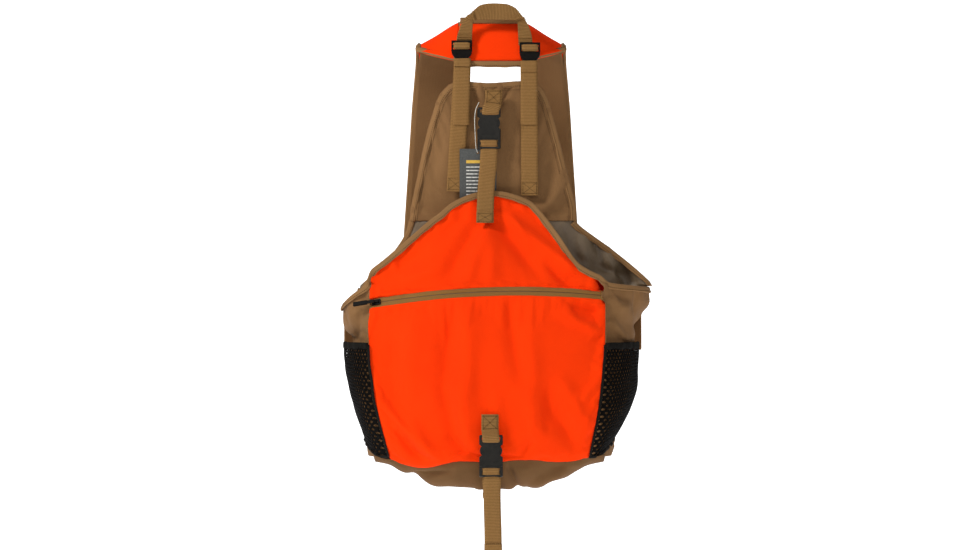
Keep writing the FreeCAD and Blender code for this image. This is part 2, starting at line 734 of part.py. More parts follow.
def make_webbing():
    """Load straps, their tails and keepers, and the straps of the four buckles."""
    half, thick = dim("webbing_width") / 2, dim("webbing_thick")
    inward = Vector(0, 1, 0)
    across = Vector(half, 0, 0)
    tails = []
    for name, x_top, x_low, low in (("left", -43, -54, -262), ("right", 57, 58, -268)):
        on_back = lambda z, out: Vector(
            x_top + (x_low - x_top) * (z + 40) / (low + 40), body(x_top, z, out).y, z)
        heights = [-69, -80, -100, -130, -161, -220, low]
        feature(f"load_strap_{name}", ribbon(
            [on_back(z, 8.6) for z in heights], across, inward, thick))
        heights = [-72, -80, -100, -130, -161]
        tails.append(ribbon([on_back(z, 11.2) for z in heights], across, inward, thick))
    feature("load_strap_tails", Part.makeCompound(tails))
    grip = {"upper": (-3, -93.5, -135.5, -38.6), "lower": (-3, -592, -622, -136.0)}
    for name, (x, top, low, y) in grip.items():
        placement = BUCKLES[name].Base
        bar = placement.z + dim("female_slot_low")
        if name == "upper":
            points = [Vector(placement.x, y, top - 3), Vector(placement.x, y - 2, bar + 9),
                      Vector(placement.x, placement.y - 0.9 + 6.4, bar + 2.4)]
        else:
            points = [Vector(placement.x, y - 0.2, top), Vector(placement.x, y - 1.6, bar + 8),
                      Vector(placement.x, placement.y + 5.4, bar + 2.4)]
        feature(f"{name}_anchor_webbing", ribbon(points, across, inward, thick))
    male = BUCKLES["upper"].Base
    points = [Vector(male.x, male.y - 6.4, male.z - 14), Vector(male.x - 1, -50, -215),
              Vector(male.x - 4, -53.2, -245), Vector(male.x - 5, -58.0, -270),
              Vector(male.x - 6, -70.5, -308)]
    feature("upper_strap", ribbon(points, across, inward, thick))
    male = BUCKLES["lower"].Base
    points = [Vector(male.x, male.y + 5.0, male.z - 4), Vector(male.x, male.y + 6, -692),
              Vector(male.x, -120, -712), Vector(male.x, -84, -716), Vector(male.x, -40, -711)]
    feature("lower_strap", bent_ribbon(points, across, thick))
    points = [Vector(male.x + 2, male.y - 7.5, male.z - 14), Vector(male.x + 2, male.y - 7, -720),
              Vector(male.x + 3, male.y - 4, -795)]
    feature("lower_strap_tail", ribbon(points, across, inward, thick))
    upright = Vector(0, 0, half)
    for name in ("waist", "sternum"):
        at = BUCKLES[name].Base
        reach = dim("female_slot_low") + 5.4
        for side, side_name, start in ((-1, "left", at.x - reach), (1, "right", at.x + 14)):
            if name == "waist":
                ends = [shell(side * place, at.z, 1.0) for place in (2.99, 2.86)]
            else:
                ends = [Vector(side * 60, 181.0, at.z), Vector(side * 92, 178.6, at.z)]
            points = [Vector(start, at.y - 7.4, at.z), *ends]
            feature(f"{name}_strap_{side_name}", ribbon(points, upright, inward, thick))


# ---------------------------------------------------------------- front and small pieces
def pocket_placement(side):
    """Frame on a front panel: local x across the pocket, local y outwards, local z up."""
    place = side * 2.68
    at = shell(place, dim("front_top"), 1.0)
    at.z = dim("pocket_centre")
    normal = (shell(place, at.z, 2.0) - shell(place, at.z, 1.0)).normalize()
    across = normal.cross(Vector(0, 0, 1)).normalize()
    return Placement(Matrix(
        across.x, normal.x, 0, at.x,
        across.y, normal.y, 0, at.y,
        across.z, normal.z, 1, at.z,
        0, 0, 0, 1))


def make_front():
    """Front panels, bellows pockets with flaps, and their snaps."""
    thick = dim("fabric_thick")
    for side, name in ((-1, "left"), (1, "right")):
        places = steps(side * 2.39, side * 2.995, 10)
        feature(f"front_panel_{name}", strip(columns(
            shell, places, lambda p: dim("front_top"), lambda p: dim("front_bottom"), thick, 3, -thick)))
        outer = box(f"pocket_outer_{name}", "-dims.pocket_width / 2", "0.4", "-dims.pocket_height + 65",
                    "dims.pocket_width", "dims.pocket_bulge", "dims.pocket_height")
        inner = box(f"pocket_inner_{name}", "-dims.pocket_width / 2 + dims.fabric_thick",
                    "0.4 + dims.fabric_thick", "-dims.pocket_height + 65 + dims.fabric_thick",
                    "dims.pocket_width - 2 * dims.fabric_thick",
                    "dims.pocket_bulge - 2 * dims.fabric_thick", "dims.pocket_height")
        pouch = boolean("Cut", f"pocket_{name}", outer, inner)
        flap_top = box(f"flap_top_{name}", "-dims.pocket_width / 2 - 3", "0.6", "66.5",
                       "dims.pocket_width + 6", "dims.pocket_bulge + dims.flap_thick + 0.4", "dims.flap_thick")
        flap_face = box(f"flap_face_{name}", "-dims.pocket_width / 2 - 3", "dims.pocket_bulge + 1",
                        "66.5 - dims.flap_height", "dims.pocket_width + 6", "dims.flap_thick",
                        "dims.flap_height")
        flap = boolean("Fuse", f"flap_{name}", flap_top, flap_face)
        doc.recompute()
        placement = pocket_placement(side)
        placed(f"cargo_pocket_{name}", pouch, placement)
        placed(f"pocket_flap_{name}", flap, placement)
        snap = y_cylinder(f"snap_cap_{name}", "0", "dims.pocket_bulge + dims.flap_thick + 1",
                          "66.5 - dims.flap_height + 12", "dims.snap_radius", "dims.snap_height")
        doc.recompute()
        placed(f"flap_snap_{name}", snap, placement)


def make_tag():
    """Swing tag as a body: pad of a rectangle, then its string hole; and the string itself."""
    part = doc.addObject("PartDesign::Body", "tag_body")
    plane = next(f for f in part.Origin.OriginFeatures if f.Role == "XZ_Plane")
    card = part.newObject("Sketcher::SketchObject", "tag_outline")
    card.AttachmentSupport = [(plane, "")]
    card.MapMode = "FlatFace"
    wide, high = dim("tag_width"), dim("tag_height")
    corners = [Vector(0, 0, 0), Vector(wide, 0, 0), Vector(wide, high, 0), Vector(0, high, 0)]
    for a, b in zip(corners, corners[1:] + corners[:1]):
        card.addGeometry(Part.LineSegment(a, b))
    for i in range(4):
        card.addConstraint(Sketcher.Constraint("Coincident", i, 2, (i + 1) % 4, 1))
    for i, kind in enumerate(("Horizontal", "Vertical", "Horizontal", "Vertical")):
        card.addConstraint(Sketcher.Constraint(kind, i))
    card.addConstraint(Sketcher.Constraint("Coincident", 0, 1, -1, 1))
    width = card.addConstraint(Sketcher.Constraint("DistanceX", 0, 1, 0, 2, wide))
    height = card.addConstraint(Sketcher.Constraint("DistanceY", 1, 1, 1, 2, high))
    card.setExpression(f"Constraints[{width}]", "dims.tag_width")
    card.setExpression(f"Constraints[{height}]", "dims.tag_height")
    pad = part.newObject("PartDesign::Pad", "tag_pad")
    pad.Profile = card
    bind(pad, Length="dims.tag_thick")
    hole = part.newObject("Sketcher::SketchObject", "tag_hole")
    hole.AttachmentSupport = [(plane, "")]
    hole.MapMode = "FlatFace"
    hole.addGeometry(Part.Circle(Vector(wide / 2, high - 6, 0), Vector(0, 0, 1), dim("tag_hole") / 2))
    cut = part.newObject("PartDesign::Pocket", "tag_cut")
    cut.Profile = hole
    cut.Type = 1
    cut.Midplane = True
    doc.recompute()
    if cut.Shape.Volume > pad.Shape.Volume - 1:
        raise RuntimeError("the tag's hole cut nothing")
    part.Placement = Placement(TAG_CORNER, Rotation())
    publish(part, "hang_tag")
    feature("tag_string", round_cord(STRING_ROUTE, dim("string_thick") / 2))


TAG_CORNER = Vector(-47, -41.6, -289)
STRING_ROUTE = [
    Vector(-18.0, -44.0, -127.5), Vector(-22.8, -46.2, -138), Vector(-24.2, -47.0, -151),
    Vector(-24.0, -46.8, -165), Vector(-23.4, -45.6, -178), Vector(-22.8, -44.4, -190),
    Vector(-22.0, -43.4, -198.5), Vector(-19.7, -43.2, -203.5),
]


def round_cord(points, radius):
    """A round tube along straight runs joined by tangent arcs."""
    edges, start = [], points[0]
    for before, corner, after in zip(points, points[1:], points[2:]):
        to_before, to_after = before - corner, after - corner
        shorter = min(to_before.Length, to_after.Length)
        turn = math.pi - to_before.getAngle(to_after)
        reach = 0.45 * shorter
        first = corner + to_before.normalize() * reach
        last = corner + to_after.normalize() * reach
        bend = reach / math.tan(turn / 2)
        bisector = (to_before + to_after).normalize()
        middle = corner + bisector * (bend / math.cos(turn / 2) - bend)
        edges.append(Part.makeLine(start, first))
        edges.append(Part.Arc(first, middle, last).toShape())
        start = last
    edges.append(Part.makeLine(start, points[-1]))
    path = Part.Wire(edges)
    along = (points[1] - points[0]).normalize()
    profile = Part.Wire([Part.makeCircle(radius, points[0], along)])
    tube = path.makePipeShell([profile], True, False)
    expected = math.pi * radius ** 2 * path.Length
    if abs(tube.Volume / expected - 1) > 0.02:
        raise RuntimeError("the cord's volume is not its section times its length")
    return tube


make_yoke()
make_handle()
make_back()
make_bag()
make_zipper()
make_slider()
make_buckles()
make_ladder_locks()
make_webbing()
make_front()
make_tag()
doc.recompute()

for obj in doc.Objects:
    if {"Invalid", "Error"} & set(obj.State):
        raise RuntimeError(f"{obj.Name} failed: {obj.State}")
os.makedirs("parts", exist_ok=True)
for old in os.listdir("parts"):
    os.remove(os.path.join("parts", old))
for obj in SUBPARTS:
    if obj.Shape.isNull() or not obj.Shape.isValid():
        raise RuntimeError(f"{obj.Label} has no valid shape")
    obj.Shape.exportStep(os.path.join("parts", f"{obj.Label}.step"))
print(len(SUBPARTS), "sub-parts")
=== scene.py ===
"""Looks of an upland field vest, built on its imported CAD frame.

Metres. +Z up, -Y is the wearer's back, +X is to the right of someone who looks at the back.
The origin is where a hook bears under the grab handle.
"""
import json
import math
import bpy
import numpy as np
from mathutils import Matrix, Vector
from mathutils.bvhtree import BVHTree


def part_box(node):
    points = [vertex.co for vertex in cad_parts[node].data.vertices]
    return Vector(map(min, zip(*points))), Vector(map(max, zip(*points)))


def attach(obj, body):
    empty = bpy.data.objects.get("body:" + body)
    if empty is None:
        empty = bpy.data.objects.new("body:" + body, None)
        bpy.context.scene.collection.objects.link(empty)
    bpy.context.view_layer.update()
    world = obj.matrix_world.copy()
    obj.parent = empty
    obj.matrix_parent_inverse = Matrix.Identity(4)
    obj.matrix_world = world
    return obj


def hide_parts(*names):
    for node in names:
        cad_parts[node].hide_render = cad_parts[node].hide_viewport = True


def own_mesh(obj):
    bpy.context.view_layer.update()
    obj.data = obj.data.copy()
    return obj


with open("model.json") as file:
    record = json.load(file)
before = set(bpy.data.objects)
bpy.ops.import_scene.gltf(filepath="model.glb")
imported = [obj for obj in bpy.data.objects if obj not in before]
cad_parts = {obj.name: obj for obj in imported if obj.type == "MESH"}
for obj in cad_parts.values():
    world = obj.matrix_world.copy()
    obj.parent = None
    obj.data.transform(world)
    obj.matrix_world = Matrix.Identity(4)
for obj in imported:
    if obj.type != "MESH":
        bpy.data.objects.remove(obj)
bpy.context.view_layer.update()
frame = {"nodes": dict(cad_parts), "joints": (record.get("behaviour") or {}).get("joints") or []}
NODES = frame["nodes"]
RNG = np.random.default_rng(7)

MM = 0.001
CLOTH = 1.1 * MM
WEBBING_WIDTH = 25.4 * MM
WEBBING_THICK = 1.7 * MM
RIB_PITCH = 2.2 * MM
BINDING_WIDTH = 9.5 * MM
THREAD = 0.32 * MM
SEAM_STEP = 4.5 * MM
AXIS_Y = 0.05


# ---------------------------------------------------------------- materials
def principled(name, rough, **sockets):
    """A material with its Principled shader set."""
    mat = bpy.data.materials.new(name)
    mat.use_nodes = True
    shader = mat.node_tree.nodes["Principled BSDF"]
    shader.inputs["Roughness"].default_value = rough
    for socket, value in sockets.items():
        shader.inputs[socket.replace("_", " ")].default_value = value
    return mat, mat.node_tree, shader


def add(tree, kind, **values):
    """A shader node with properties and input defaults set."""
    node = tree.nodes.new(kind)
    for key, value in values.items():
        if hasattr(node, key):
            setattr(node, key, value)
        else:
            node.inputs[key].default_value = value
    return node


def ramp(tree, source, low, high, start=0.35, stop=0.65):
    """Maps a value to a mix of two colours."""
    node = add(tree, "ShaderNodeValToRGB")
    node.color_ramp.elements[0].position = start
    node.color_ramp.elements[1].position = stop
    node.color_ramp.elements[0].color = (*low, 1)
    node.color_ramp.elements[1].color = (*high, 1)
    tree.links.new(source, node.inputs["Fac"])
    return node.outputs["Color"]


def bump(tree, shader, height, strength, distance, chain=None):
    """Adds a bump to the shader's normal and returns it, so that another can follow it."""
    node = add(tree, "ShaderNodeBump", Strength=strength, Distance=distance)
    tree.links.new(height, node.inputs["Height"])
    if chain is not None:
        tree.links.new(chain.outputs["Normal"], node.inputs["Normal"])
    tree.links.new(node.outputs["Normal"], shader.inputs["Normal"])
    return node


def mathematics(tree, operation, a, b):
    """A two-input math node on sockets or numbers."""
    node = add(tree, "ShaderNodeMath", operation=operation)
    for index, value in enumerate((a, b)):
        if isinstance(value, (int, float)):
            node.inputs[index].default_value = value
        else:
            tree.links.new(value, node.inputs[index])
    return node.outputs[0]


def bands(tree, coords, direction, period):
    """Sine bands across one direction of the cloth, with their period in metres."""
    wave = add(tree, "ShaderNodeTexWave", bands_direction=direction, wave_profile="SIN")
    wave.inputs["Scale"].default_value = 2 * math.pi / 20 / period
    wave.inputs["Distortion"].default_value = 0.0
    tree.links.new(coords, wave.inputs["Vector"])
    return wave.outputs["Fac"]


def cloth_material(name, low, high, period=0.9 * MM, rough=0.9, sheen=0.04, ripstop=0.0, gloss=None):
    """Woven cloth: crossed threads on the UV map, blotches and a soft sheen."""
    mat, tree, shader = principled(name, rough, Sheen_Weight=sheen, Sheen_Roughness=0.5)
    shader.inputs["Specular IOR Level"].default_value = 0.1 if gloss is None else gloss
    coords = add(tree, "ShaderNodeTexCoord")
    uv = coords.outputs["UV"]
    warp, weft = bands(tree, uv, "X", period), bands(tree, uv, "Y", period)
    weave = mathematics(tree, "MULTIPLY", warp, weft)
    blotch = add(tree, "ShaderNodeTexNoise", Scale=9.0, Detail=6.0, Roughness=0.65)
    tree.links.new(coords.outputs["Object"], blotch.inputs["Vector"])
    slub = add(tree, "ShaderNodeTexNoise", Scale=900.0, Detail=2.0)
    tree.links.new(uv, slub.inputs["Vector"])
    mixed = mathematics(tree, "ADD", mathematics(tree, "MULTIPLY", blotch.outputs["Fac"], 0.72),
                        mathematics(tree, "MULTIPLY", slub.outputs["Fac"], 0.28))
    tree.links.new(ramp(tree, mixed, low, high, 0.3, 0.7), shader.inputs["Base Color"])
    first = bump(tree, shader, weave, 0.55, 0.12 * MM)
    if ripstop:
        grid_x, grid_y = bands(tree, uv, "X", ripstop), bands(tree, uv, "Y", ripstop)
        lines = mathematics(tree, "MAXIMUM", grid_x, grid_y)
        first = bump(tree, shader, mathematics(tree, "POWER", lines, 12.0), 0.6, 0.12 * MM, first)
    bump(tree, shader, slub.outputs["Fac"], 0.35, 0.15 * MM, first)
    return mat


def webbing_material(name, low, high):
    """Ribbed webbing: fine diagonal yarns over the modelled ribs, with painted shade in the grooves between them."""
    mat, tree, shader = principled(name, 0.8, Specular_IOR_Level=0.12)
    coords = add(tree, "ShaderNodeTexCoord")
    uv = coords.outputs["UV"]
    yarn = bands(tree, uv, "DIAGONAL", 1.1 * MM)
    edge = bands(tree, uv, "X", 0.8 * MM)
    noise = add(tree, "ShaderNodeTexNoise", Scale=420.0, Detail=3.0)
    tree.links.new(uv, noise.inputs["Vector"])
    # Painted shade: the colour is lighter on the rib tops and darker in the grooves between them, in step with the rib
    # height.
    ridge = mathematics(tree, "SUBTRACT", 1.0, bands(tree, uv, "Y", RIB_PITCH))
    mixed = mathematics(tree, "ADD", mathematics(tree, "MULTIPLY", yarn, 0.15),
                        mathematics(tree, "MULTIPLY", noise.outputs["Fac"], 0.35))
    mixed = mathematics(tree, "ADD", mixed, mathematics(tree, "MULTIPLY", ridge, 0.5))
    tree.links.new(ramp(tree, mixed, low, high, 0.15, 0.8), shader.inputs["Base Color"])
    first = bump(tree, shader, yarn, 0.7, 0.2 * MM)
    bump(tree, shader, edge, 0.3, 0.1 * MM, first)
    return mat


def plastic_material(name, low, high, rough, gloss=0.4):
    """Moulded plastic: fine spark-eroded grain and faint scuffs."""
    mat, tree, shader = principled(name, rough, Specular_IOR_Level=gloss)
    coords = add(tree, "ShaderNodeTexCoord")
    grain = add(tree, "ShaderNodeTexNoise", Scale=2400.0, Detail=2.0)
    scuff = add(tree, "ShaderNodeTexNoise", Scale=160.0, Detail=6.0, Roughness=0.7)
    for node in (grain, scuff):
        tree.links.new(coords.outputs["Object"], node.inputs["Vector"])
    tree.links.new(ramp(tree, scuff.outputs["Fac"], low, high), shader.inputs["Base Color"])
    shine = add(tree, "ShaderNodeMapRange")
    shine.inputs["To Min"].default_value = rough - 0.08
    shine.inputs["To Max"].default_value = rough + 0.12
    tree.links.new(scuff.outputs["Fac"], shine.inputs["Value"])
    tree.links.new(shine.outputs["Result"], shader.inputs["Roughness"])
    bump(tree, shader, grain.outputs["Fac"], 0.2, 0.06 * MM)
    return mat


def thread_material(name, low, high):
    """Twisted sewing thread."""
    mat, tree, shader = principled(name, 0.8, Specular_IOR_Level=0.1)
    coords = add(tree, "ShaderNodeTexCoord")
    noise = add(tree, "ShaderNodeTexNoise", Scale=1500.0, Detail=2.0)
    tree.links.new(coords.outputs["Object"], noise.inputs["Vector"])
    tree.links.new(ramp(tree, noise.outputs["Fac"], low, high), shader.inputs["Base Color"])
    return mat


def card_material():
    """Dark printed card with a faint tooth."""
    mat, tree, shader = principled("tag_card", 0.55)
    coords = add(tree, "ShaderNodeTexCoord")
    noise = add(tree, "ShaderNodeTexNoise", Scale=700.0, Detail=4.0)
    tree.links.new(coords.outputs["Object"], noise.inputs["Vector"])
    tree.links.new(ramp(tree, noise.outputs["Fac"], (0.045, 0.048, 0.046), (0.07, 0.072, 0.068)),
                   shader.inputs["Base Color"])
    bump(tree, shader, noise.outputs["Fac"], 0.15, 0.05 * MM)
    return mat


MATERIALS = {
    "orange_cloth": cloth_material("orange_cloth", (0.84, 0.034, 0.0), (0.96, 0.042, 0.0), 0.8 * MM, 0.95, 0.0),
    "tan_packcloth": cloth_material("tan_packcloth", (0.185, 0.094, 0.037), (0.235, 0.122, 0.049),
                                    0.7 * MM, 0.85, 0.03, 5.0 * MM),
    "tan_binding": cloth_material("tan_binding", (0.20, 0.104, 0.040), (0.285, 0.152, 0.062), 1.1 * MM),
    "tan_webbing": webbing_material("tan_webbing", (0.135, 0.068, 0.020), (0.30, 0.158, 0.052)),
    "grey_lining": cloth_material("grey_lining", (0.125, 0.082, 0.043), (0.185, 0.128, 0.072),
                                  0.5 * MM, 0.42, 0.05, 0.0, 0.5),
    "black_mesh": plastic_material("black_mesh", (0.0016, 0.0012, 0.001), (0.004, 0.003, 0.0025), 0.85, 0.06),
    "black_elastic": webbing_material("black_elastic", (0.0025, 0.002, 0.0016), (0.009, 0.0075, 0.0055)),
    "zipper_tape": cloth_material("zipper_tape", (0.20, 0.095, 0.024), (0.27, 0.135, 0.038), 0.6 * MM),
    "zipper_coil": plastic_material("zipper_coil", (0.10, 0.048, 0.014), (0.14, 0.07, 0.022), 0.45),
    "black_plastic": plastic_material("black_plastic", (0.0065, 0.0055, 0.004), (0.012, 0.010, 0.007), 0.36, 0.3),
    "dull_plastic": plastic_material("dull_plastic", (0.0035, 0.003, 0.0025), (0.007, 0.006, 0.005), 0.6, 0.08),
    # Tan pack cloth at about seven tenths: painted shade for the bag's underside, which faces down.
    "painted_shade_cloth": cloth_material("painted_shade_cloth", (0.125, 0.062, 0.024), (0.165, 0.084, 0.034), 0.7 * MM),
    "black_metal": plastic_material("black_metal", (0.01, 0.01, 0.01), (0.02, 0.02, 0.02), 0.32),
    "tag_card": card_material(),
    "tan_thread": thread_material("tan_thread", (0.16, 0.08, 0.03), (0.30, 0.17, 0.07)),
    "dark_thread": thread_material("dark_thread", (0.032, 0.017, 0.007), (0.07, 0.038, 0.016)),
    "orange_thread": thread_material("orange_thread", (0.75, 0.04, 0.002), (0.95, 0.07, 0.005)),
    "white_string": thread_material("white_string", (0.60, 0.57, 0.50), (0.82, 0.80, 0.74)),
    "tag_gold": thread_material("tag_gold", (0.55, 0.33, 0.05), (0.75, 0.48, 0.10)),
    "tag_white": thread_material("tag_white", (0.55, 0.54, 0.50), (0.75, 0.74, 0.70)),
}


# ---------------------------------------------------------------- mesh helpers
def finish_piece(obj, look, body="vest", nodes=(), smooth=True):
    """Gives a piece its material and the body it rides on, and hides the CAD nodes it stands for."""
    obj.data.materials.clear()
    obj.data.materials.append(MATERIALS[look])
    if smooth and obj.type == "MESH":
        obj.data.polygons.foreach_set("use_smooth", [True] * len(obj.data.polygons))
    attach(obj, body)
    if nodes:
        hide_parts(*nodes)
    return obj


def mesh_object(name, verts, faces, uvs=None):
    """A mesh object from arrays; uvs has one pair for each vertex."""
    mesh = bpy.data.meshes.new(name)
    mesh.from_pydata([tuple(v) for v in verts], [], [tuple(f) for f in faces])
    if uvs is not None:
        layer = mesh.uv_layers.new(name="UVMap")
        loops = np.empty(len(mesh.loops), dtype=np.int64)
        mesh.loops.foreach_get("vertex_index", loops)
        layer.data.foreach_set("uv", np.asarray(uvs, dtype=np.float64)[loops].ravel())
    mesh.update()
    obj = bpy.data.objects.new(name, mesh)
    bpy.context.scene.collection.objects.link(obj)
    return obj


def grid_faces(rows, cols, wrap=False):
    """Quads of a grid of rows by cols points, closed across the columns if wrap."""
    faces = []
    for i in range(rows - 1):
        for j in range(cols if wrap else cols - 1):
            k = (j + 1) % cols
            faces.append((i * cols + j, i * cols + k, (i + 1) * cols + k, (i + 1) * cols + j))
    return faces


def grid_uv(points):
    """UVs in metres: mean arc length along each direction of the grid."""
    down = np.linalg.norm(np.diff(points, axis=0), axis=2).mean(axis=1)
    across = np.linalg.norm(np.diff(points, axis=1), axis=2).mean(axis=0)
    v = np.concatenate(([0], np.cumsum(down)))
    u = np.concatenate(([0], np.cumsum(across)))
    grid_u, grid_v = np.meshgrid(u, v)
    return np.stack((grid_u.ravel(), grid_v.ravel()), axis=1)


def cloth_grid(name, points):
    """An open sheet through a rows by cols by 3 array."""
    rows, cols = points.shape[:2]
    return mesh_object(name, points.reshape(-1, 3), grid_faces(rows, cols), grid_uv(points))


def solid(obj, thick=CLOTH, offset=-1.0, level=0):
    """Gives a sheet its thickness."""
    if level:
        obj.modifiers.new("round", "SUBSURF").levels = level
        obj.modifiers["round"].render_levels = level
    shell = obj.modifiers.new("thickness", "SOLIDIFY")
    shell.thickness = thick
    shell.offset = offset
    return obj


def smooth_grid(points, rounds, keep_edges=True):
    """Relaxes the inside of a grid of points."""
    out = points.copy()
    for _ in range(rounds):
        inner = (out[:-2, 1:-1] + out[2:, 1:-1] + out[1:-1, :-2] + out[1:-1, 2:]) / 4
        out[1:-1, 1:-1] = 0.5 * out[1:-1, 1:-1] + 0.5 * inner
        if not keep_edges:
            for edge in (np.s_[0, 1:-1], np.s_[-1, 1:-1]):
                row = out[edge[0]]
                out[edge] = 0.5 * row[1:-1] + 0.25 * (row[:-2] + row[2:])
            for col in (0, -1):
                line = out[:, col]
                out[1:-1, col] = 0.5 * line[1:-1] + 0.25 * (line[:-2] + line[2:])
    return out


def join_parts(name, parts):
    """One mesh from a list of (verts, faces)."""
    verts, faces, base = [], [], 0
    for part_verts, part_faces in parts:
        verts.append(np.asarray(part_verts))
        faces.extend(tuple(i + base for i in face) for face in part_faces)
        base += len(part_verts)
    return mesh_object(name, np.concatenate(verts), faces)


# ---------------------------------------------------------------- paths
def resample(points, step):
    """Points about a step apart on a smooth (Catmull-Rom) curve through the given ones."""
    pts = np.asarray(points, dtype=float)
    padded = np.vstack((2 * pts[0] - pts[1], pts, 2 * pts[-1] - pts[-2]))
    fine = []
    for a, b, c, d in zip(padded, padded[1:], padded[2:], padded[3:]):
        for t in np.linspace(0, 1, 24, endpoint=False):
            fine.append(0.5 * (2 * b + (c - a) * t + (2 * a - 5 * b + 4 * c - d) * t ** 2
                               + (3 * b - a - 3 * c + d) * t ** 3))
    fine = np.vstack((fine, pts[-1:]))
    return even(fine, step)


def even(points, step):
    """The same polyline with its points a step apart."""
    lengths = np.concatenate(([0], np.cumsum(np.linalg.norm(np.diff(points, axis=0), axis=1))))
    count = max(2, int(round(lengths[-1] / step)) + 1)
    at = np.linspace(0, lengths[-1], count)
    return np.stack([np.interp(at, lengths, points[:, k]) for k in range(points.shape[1])], axis=1)


def unit(vectors):
    """Rows scaled to length 1."""
    return vectors / np.maximum(np.linalg.norm(vectors, axis=-1, keepdims=True), 1e-12)


def moving_frame(path, normals):
    """Tangent, normal and side vectors along a path, with the normals made square to it."""
    tangent = unit(np.gradient(path, axis=0))
    normal = np.broadcast_to(np.asarray(normals, dtype=float), path.shape)
    side = unit(np.cross(tangent, normal))
    return tangent, unit(np.cross(side, tangent)), side


def sweep(name, path, normals, profile, caps=True):
    """A closed tube: profile(s) gives its section as (side, normal) pairs at arc length s."""
    _, normal, side = moving_frame(path, normals)
    lengths = np.concatenate(([0], np.cumsum(np.linalg.norm(np.diff(path, axis=0), axis=1))))
    rings = np.array([profile(s) for s in lengths])
    points = (path[:, None] + side[:, None] * rings[..., :1] + normal[:, None] * rings[..., 1:])
    rows, cols = points.shape[:2]
    faces = grid_faces(rows, cols, wrap=True)
    if caps:
        faces.append(tuple(range(cols))[::-1])
        faces.append(tuple(range((rows - 1) * cols, rows * cols)))
    uv = np.stack((rings[..., 0].ravel(), np.repeat(lengths, cols)), axis=1)
    return mesh_object(name, points.reshape(-1, 3), faces, uv)


def flat_section(width, thick, count=7):
    """A rounded flat section, top side from left to right and back below."""
    across = np.linspace(-1, 1, count)
    dome = (1 - across ** 6) * 0.5 + 0.06
    top = np.stack((across * width / 2, dome * thick), axis=1)
    low = np.stack((across[::-1] * width / 2, -dome * thick), axis=1)
    return np.vstack((top, low))


def webbing(name, path, normals, body="vest", nodes=(), width=WEBBING_WIDTH, thick=WEBBING_THICK,
            ribs=0.24 * MM, look="tan_webbing"):
    """Flat webbing with ribs across it and firmer selvedges."""
    path = resample(path, RIB_PITCH / 4) if len(path) < 40 else path
    base = flat_section(width, thick, 9)
    inside = (np.abs(base[:, 0]) < width * 0.46).astype(float) * np.sign(base[:, 1])

    def profile(s):
        ring = base.copy()
        ring[:, 1] += inside * ribs * (0.5 + 0.5 * math.cos(2 * math.pi * s / RIB_PITCH))
        return ring

    return finish_piece(sweep(name, path, normals, profile), look, body, nodes)


def stitches(name, runs, look="dark_thread", body="vest", pitch=3.2 * MM, length=2.5 * MM, radius=THREAD):
    """Rows of thread: each run is (path, normals), with its stitches a pitch apart."""
    parts = []
    angles = np.linspace(0, 2 * math.pi, 5, endpoint=False)
    shape = ((0.0, 0.25, -0.5), (0.2, 1.0, 0.25), (0.5, 1.1, 0.5), (0.8, 1.0, 0.25), (1.0, 0.25, -0.5))
    for path, normals in runs:
        dots = even(np.asarray(path, dtype=float), pitch)
        if len(dots) < 3:
            continue
        if np.ndim(normals) == 2:
            ends = np.linspace(0, 1, len(normals))
            at = np.linspace(0, 1, len(dots))
            normals = np.stack([np.interp(at, ends, normals[:, k]) for k in range(3)], axis=1)
        tangent, normal, side = moving_frame(dots, normals)
        for p, t, n, b in zip(dots, tangent, normal, side):
            rings = [p + t * (u - 0.5) * length + n * radius * lift + (
                np.outer(np.cos(angles), b) + np.outer(np.sin(angles), n)) * radius * fat
                for u, fat, lift in shape]
            parts.append((np.vstack(rings), grid_faces(len(shape), 5, wrap=True)))
    return finish_piece(join_parts(name, parts), look, body)


# ---------------------------------------------------------------- the frame's surfaces
def tree_of(*nodes):
    """A tree of the CAD faces of these nodes, to cast rays on."""
    verts, faces = [], []
    for node in nodes:
        mesh = NODES[node].data
        base = len(verts)
        verts.extend(v.co.copy() for v in mesh.vertices)
        faces.extend([base + i for i in poly.vertices] for poly in mesh.polygons)
    return BVHTree.FromPolygons(verts, faces)


def from_behind(tree, x, z):
    """The first point met by a ray along +Y, or None."""
    hit = tree.ray_cast(Vector((x, -1.0, z)), Vector((0, 1, 0)))[0]
    return hit if hit is not None else None


def from_side(tree, angle, z):
    """The first point met by a ray towards the body's axis at an angle seen from above."""
    out = Vector((math.cos(angle), math.sin(angle), 0))
    return tree.ray_cast(Vector((0, AXIS_Y, z)) + out, -out)[0]


def last_hit(test, inside, outside):
    """The value where test stops being met, between one that meets it and one that doesn't."""
    for _ in range(14):
        middle = (inside + outside) / 2
        if test(middle):
            inside = middle
        else:
            outside = middle
    return inside


def blur(values, rounds=6):
    """Evens out a list of numbers, with its ends kept."""
    out = np.array(values, dtype=float)
    for _ in range(rounds):
        out[1:-1] = 0.5 * out[1:-1] + 0.25 * (out[:-2] + out[2:])
    return out


def normals_of(points):
    """Unit normals of a grid of points, turned away from the body's axis."""
    across, down = np.gradient(points, axis=1), np.gradient(points, axis=0)
    normal = unit(np.cross(across, down))
    centre = points.mean(axis=(0, 1)) - np.array([0, AXIS_Y, points[..., 2].mean()])
    if (normal.mean(axis=(0, 1)) * centre).sum() < 0:
        normal = -normal
    return normal


def crease(points, folds):
    """Heights of soft folds: each is (x0, z0, x1, z1, width, height) in millimetres on the XZ plane."""
    flat = points[..., (0, 2)] / MM
    total = np.zeros(points.shape[:2])
    for x0, z0, x1, z1, width, height in folds:
        start, run = np.array([x0, z0]), np.array([x1 - x0, z1 - z0])
        along = ((flat - start) @ run) / (run @ run)
        off = np.linalg.norm(flat - start - np.clip(along, 0, 1)[..., None] * run, axis=2)
        fade = np.clip(np.minimum(along + 0.25, 1.25 - along) / 0.5, 0, 1)
        total += height * MM * fade * np.exp(-(off / width) ** 2)
    return total


